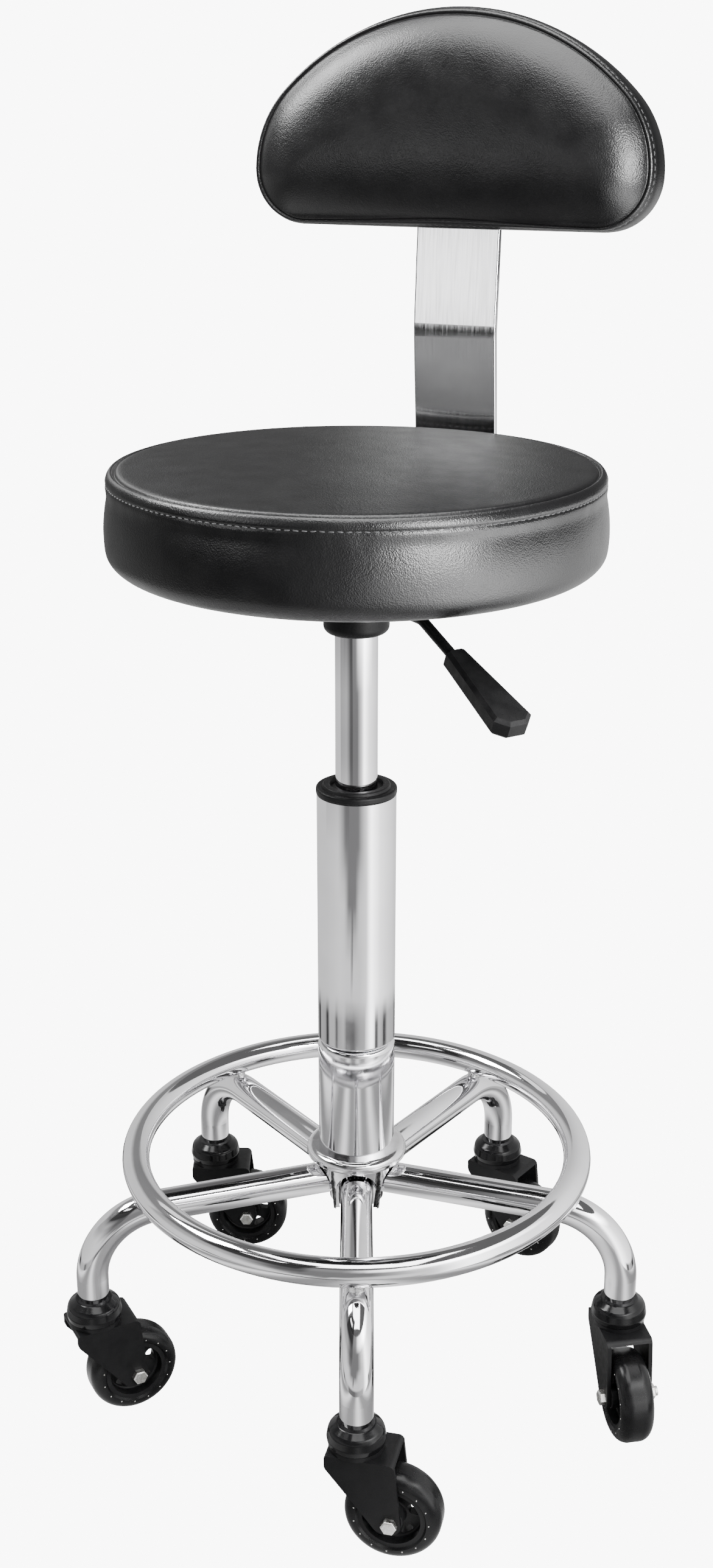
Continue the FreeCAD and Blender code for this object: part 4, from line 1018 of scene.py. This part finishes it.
def make_backrest_cover():
    """Vinyl cover: flat back, stitched band, turned edge and crowned front panel."""
    outline = pad_outline(PAD_SEGMENTS)
    fine_outline = pad_outline(PAD_SEGMENTS * 3)
    rings, free = [], []

    def add_ring(places, count, slack):
        rings.append(thinned([on_pad(*place) for place in places], count))
        free.extend([slack] * count)

    for share, divide in PAD_REAR_RINGS:
        places = [PAD_CENTRE.lerp(point, share) for point in outline]
        add_ring([(p.x, PAD_REAR, p.y) for p in places], PAD_SEGMENTS // divide, 0.0)
    for inset, y, slack in PAD_BAND:
        places = [point - (point - PAD_CENTRE).normalized() * inset * MM for point in outline]
        add_ring([(p.x, y * MM, p.y) for p in places], PAD_SEGMENTS, slack)
    for i in range(1, PAD_FRONT_ROWS + 1):
        share = (i / (PAD_FRONT_ROWS + 1)) ** PAD_ROW_POWER
        places = []
        for point in outline:
            spoke = point - PAD_CENTRE
            place = PAD_CENTRE + spoke.normalized() * (spoke.length - PAD_INSET) * (1 - share)
            distance = max(0.0, edge_distance(place, fine_outline) - PAD_INSET)
            places.append((place.x, -PAD_FRONT - pad_crown(distance), place.y))
        add_ring(places, PAD_SEGMENTS // 2 ** max(0, i - PAD_FRONT_ROWS + 4), min(1.0, share * 6))
    deepest = edge_distance(PAD_CENTRE, fine_outline) - PAD_INSET
    middle = on_pad(PAD_CENTRE.x, -PAD_FRONT - pad_crown(deepest), PAD_CENTRE.y)
    mesh = ring_mesh("backrest_cover", rings, on_pad(PAD_CENTRE.x, PAD_REAR, PAD_CENTRE.y), middle)
    cover = new_piece("backrest_cover", mesh, "seat", "vinyl")
    inflate(cover, free + [0.0, 1.0], PAD_PRESSURE, PAD_SWELL)
    add_smoothing(cover)
    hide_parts("backrest_cushion")
    return cover


def make_backrest_stitching(cover):
    tree = surface_tree(cover)
    loop = []
    for point in pad_outline(PAD_STITCH_STEPS):
        place = point - (point - PAD_CENTRE).normalized() * PAD_STITCH_INSET
        loop.append(on_pad(place.x, PAD_STITCH_DEPTH, place.y))
    share = PAD_STITCH_SHARE
    stitches = stitch_path(tree, loop, STITCH_PITCH * share, STITCH_LENGTH * share)
    mesh = capsule_row("backrest_stitching", stitches, THREAD)
    new_piece("backrest_stitching", mesh, "seat", "thread")


BACK_LINING_INSET = 15 * MM
BACK_LINING_LEVEL = 1.2 * MM
BACK_STAPLES = 36


def make_backrest_lining():
    """Cloth over the wrapped edge on the pad's back, and its staples."""
    inset, level = BACK_LINING_INSET, BACK_LINING_LEVEL
    rings = []
    for share, lift in ((0.25, level), (0.6, level), (0.9, level), (0.985, level + 0.4 * MM),
                        (1.0, level + 0.1 * MM), (1.0, 0.45 * MM), (0.25, 0.5 * MM)):
        ring = []
        for i, point in enumerate(pad_outline(PAD_SEGMENTS)):
            angle = 2 * math.pi * i / PAD_SEGMENTS
            wave = ripple(angle, 23, (9, 14, 21), LINING_WAVE) if share > 0.8 else 0.0
            spoke = point - PAD_CENTRE
            place = PAD_CENTRE + spoke.normalized() * ((spoke.length - inset) * share + wave)
            ring.append(on_pad(place.x, lift, place.y))
        rings.append(ring)
    make_lining("backrest_lining", rings)

    staples = []
    outline = pad_outline(BACK_STAPLES)
    back = (on_pad(0, 1, 0) - on_pad(0, 0, 0)).normalized()
    for i, point in enumerate(outline):
        spoke = point - PAD_CENTRE
        place = PAD_CENTRE + spoke.normalized() * (spoke.length - inset - 5 * MM)
        after = outline[(i + 1) % len(outline)]
        along = (on_pad(after.x, 0, after.y) - on_pad(point.x, 0, point.y)).normalized()
        along.rotate(Matrix.Rotation(random.uniform(-STAPLE_TILT, STAPLE_TILT), 3, back))
        staples.append((on_pad(place.x, level + 0.3 * MM, place.y), along, back, STAPLE_LENGTH))
    make_staples("backrest_staples", staples)


# ---------------------------------------------------------------- casters

# Zinc studs that stand in for bright glint dots on the wheel's sides: painted highlights.
GLINT_STUD_COUNT = 15
GLINT_STUD_CIRCLE = 24.6 * MM
GLINT_STUD_RADIUS = 0.55 * MM
GLINT_STUD_SINK = 0.15 * MM
GLINT_STUD_FLATNESS = 0.6
WHEEL_HALF_WIDTH = 12 * MM


def make_wheel_glint_studs(k):
    """Small bright zinc studs round both sides of a wheel, just outside its rim. They stand in for
    glint dots, so they are painted highlights.
    """
    roll = next(joint for joint in frame["joints"] if joint["name"] == f"caster_{k}_roll")
    centre, axle = Vector(roll["pos_m"]), Vector(roll["axis"]).normalized()
    up = Vector((0, 0, 1))
    level = axle.cross(up)
    aim = axle.to_track_quat("Z", "Y").to_matrix().to_4x4()
    shape = bmesh.new()
    for side in (-1, 1):
        for i in range(GLINT_STUD_COUNT):
            angle = 2 * math.pi * (i + 0.5 * (side > 0)) / GLINT_STUD_COUNT
            out = level * math.cos(angle) + up * math.sin(angle)
            place = centre + out * GLINT_STUD_CIRCLE + axle * side * (WHEEL_HALF_WIDTH - GLINT_STUD_SINK)
            squashed = Matrix.Translation(place) @ aim @ Matrix.Diagonal((1, 1, GLINT_STUD_FLATNESS, 1))
            bmesh.ops.create_icosphere(shape, subdivisions=2, radius=GLINT_STUD_RADIUS, matrix=squashed)
    mesh = bpy.data.meshes.new(f"wheel_{k}_glint_studs")
    shape.to_mesh(mesh)
    shape.free()
    smooth_faces(mesh)
    new_piece(f"wheel_{k}_glint_studs", mesh, f"wheel_{k}", "zinc")


# ---------------------------------------------------------------- build

add_camera()
add_studio()
dress_nodes()
seat_cover = make_seat_cover()
make_seat_stitching(seat_cover)
make_seat_lining()
backrest_cover = make_backrest_cover()
make_backrest_stitching(backrest_cover)
make_backrest_lining()
for k in CASTERS:
    make_wheel_glint_studs(k)
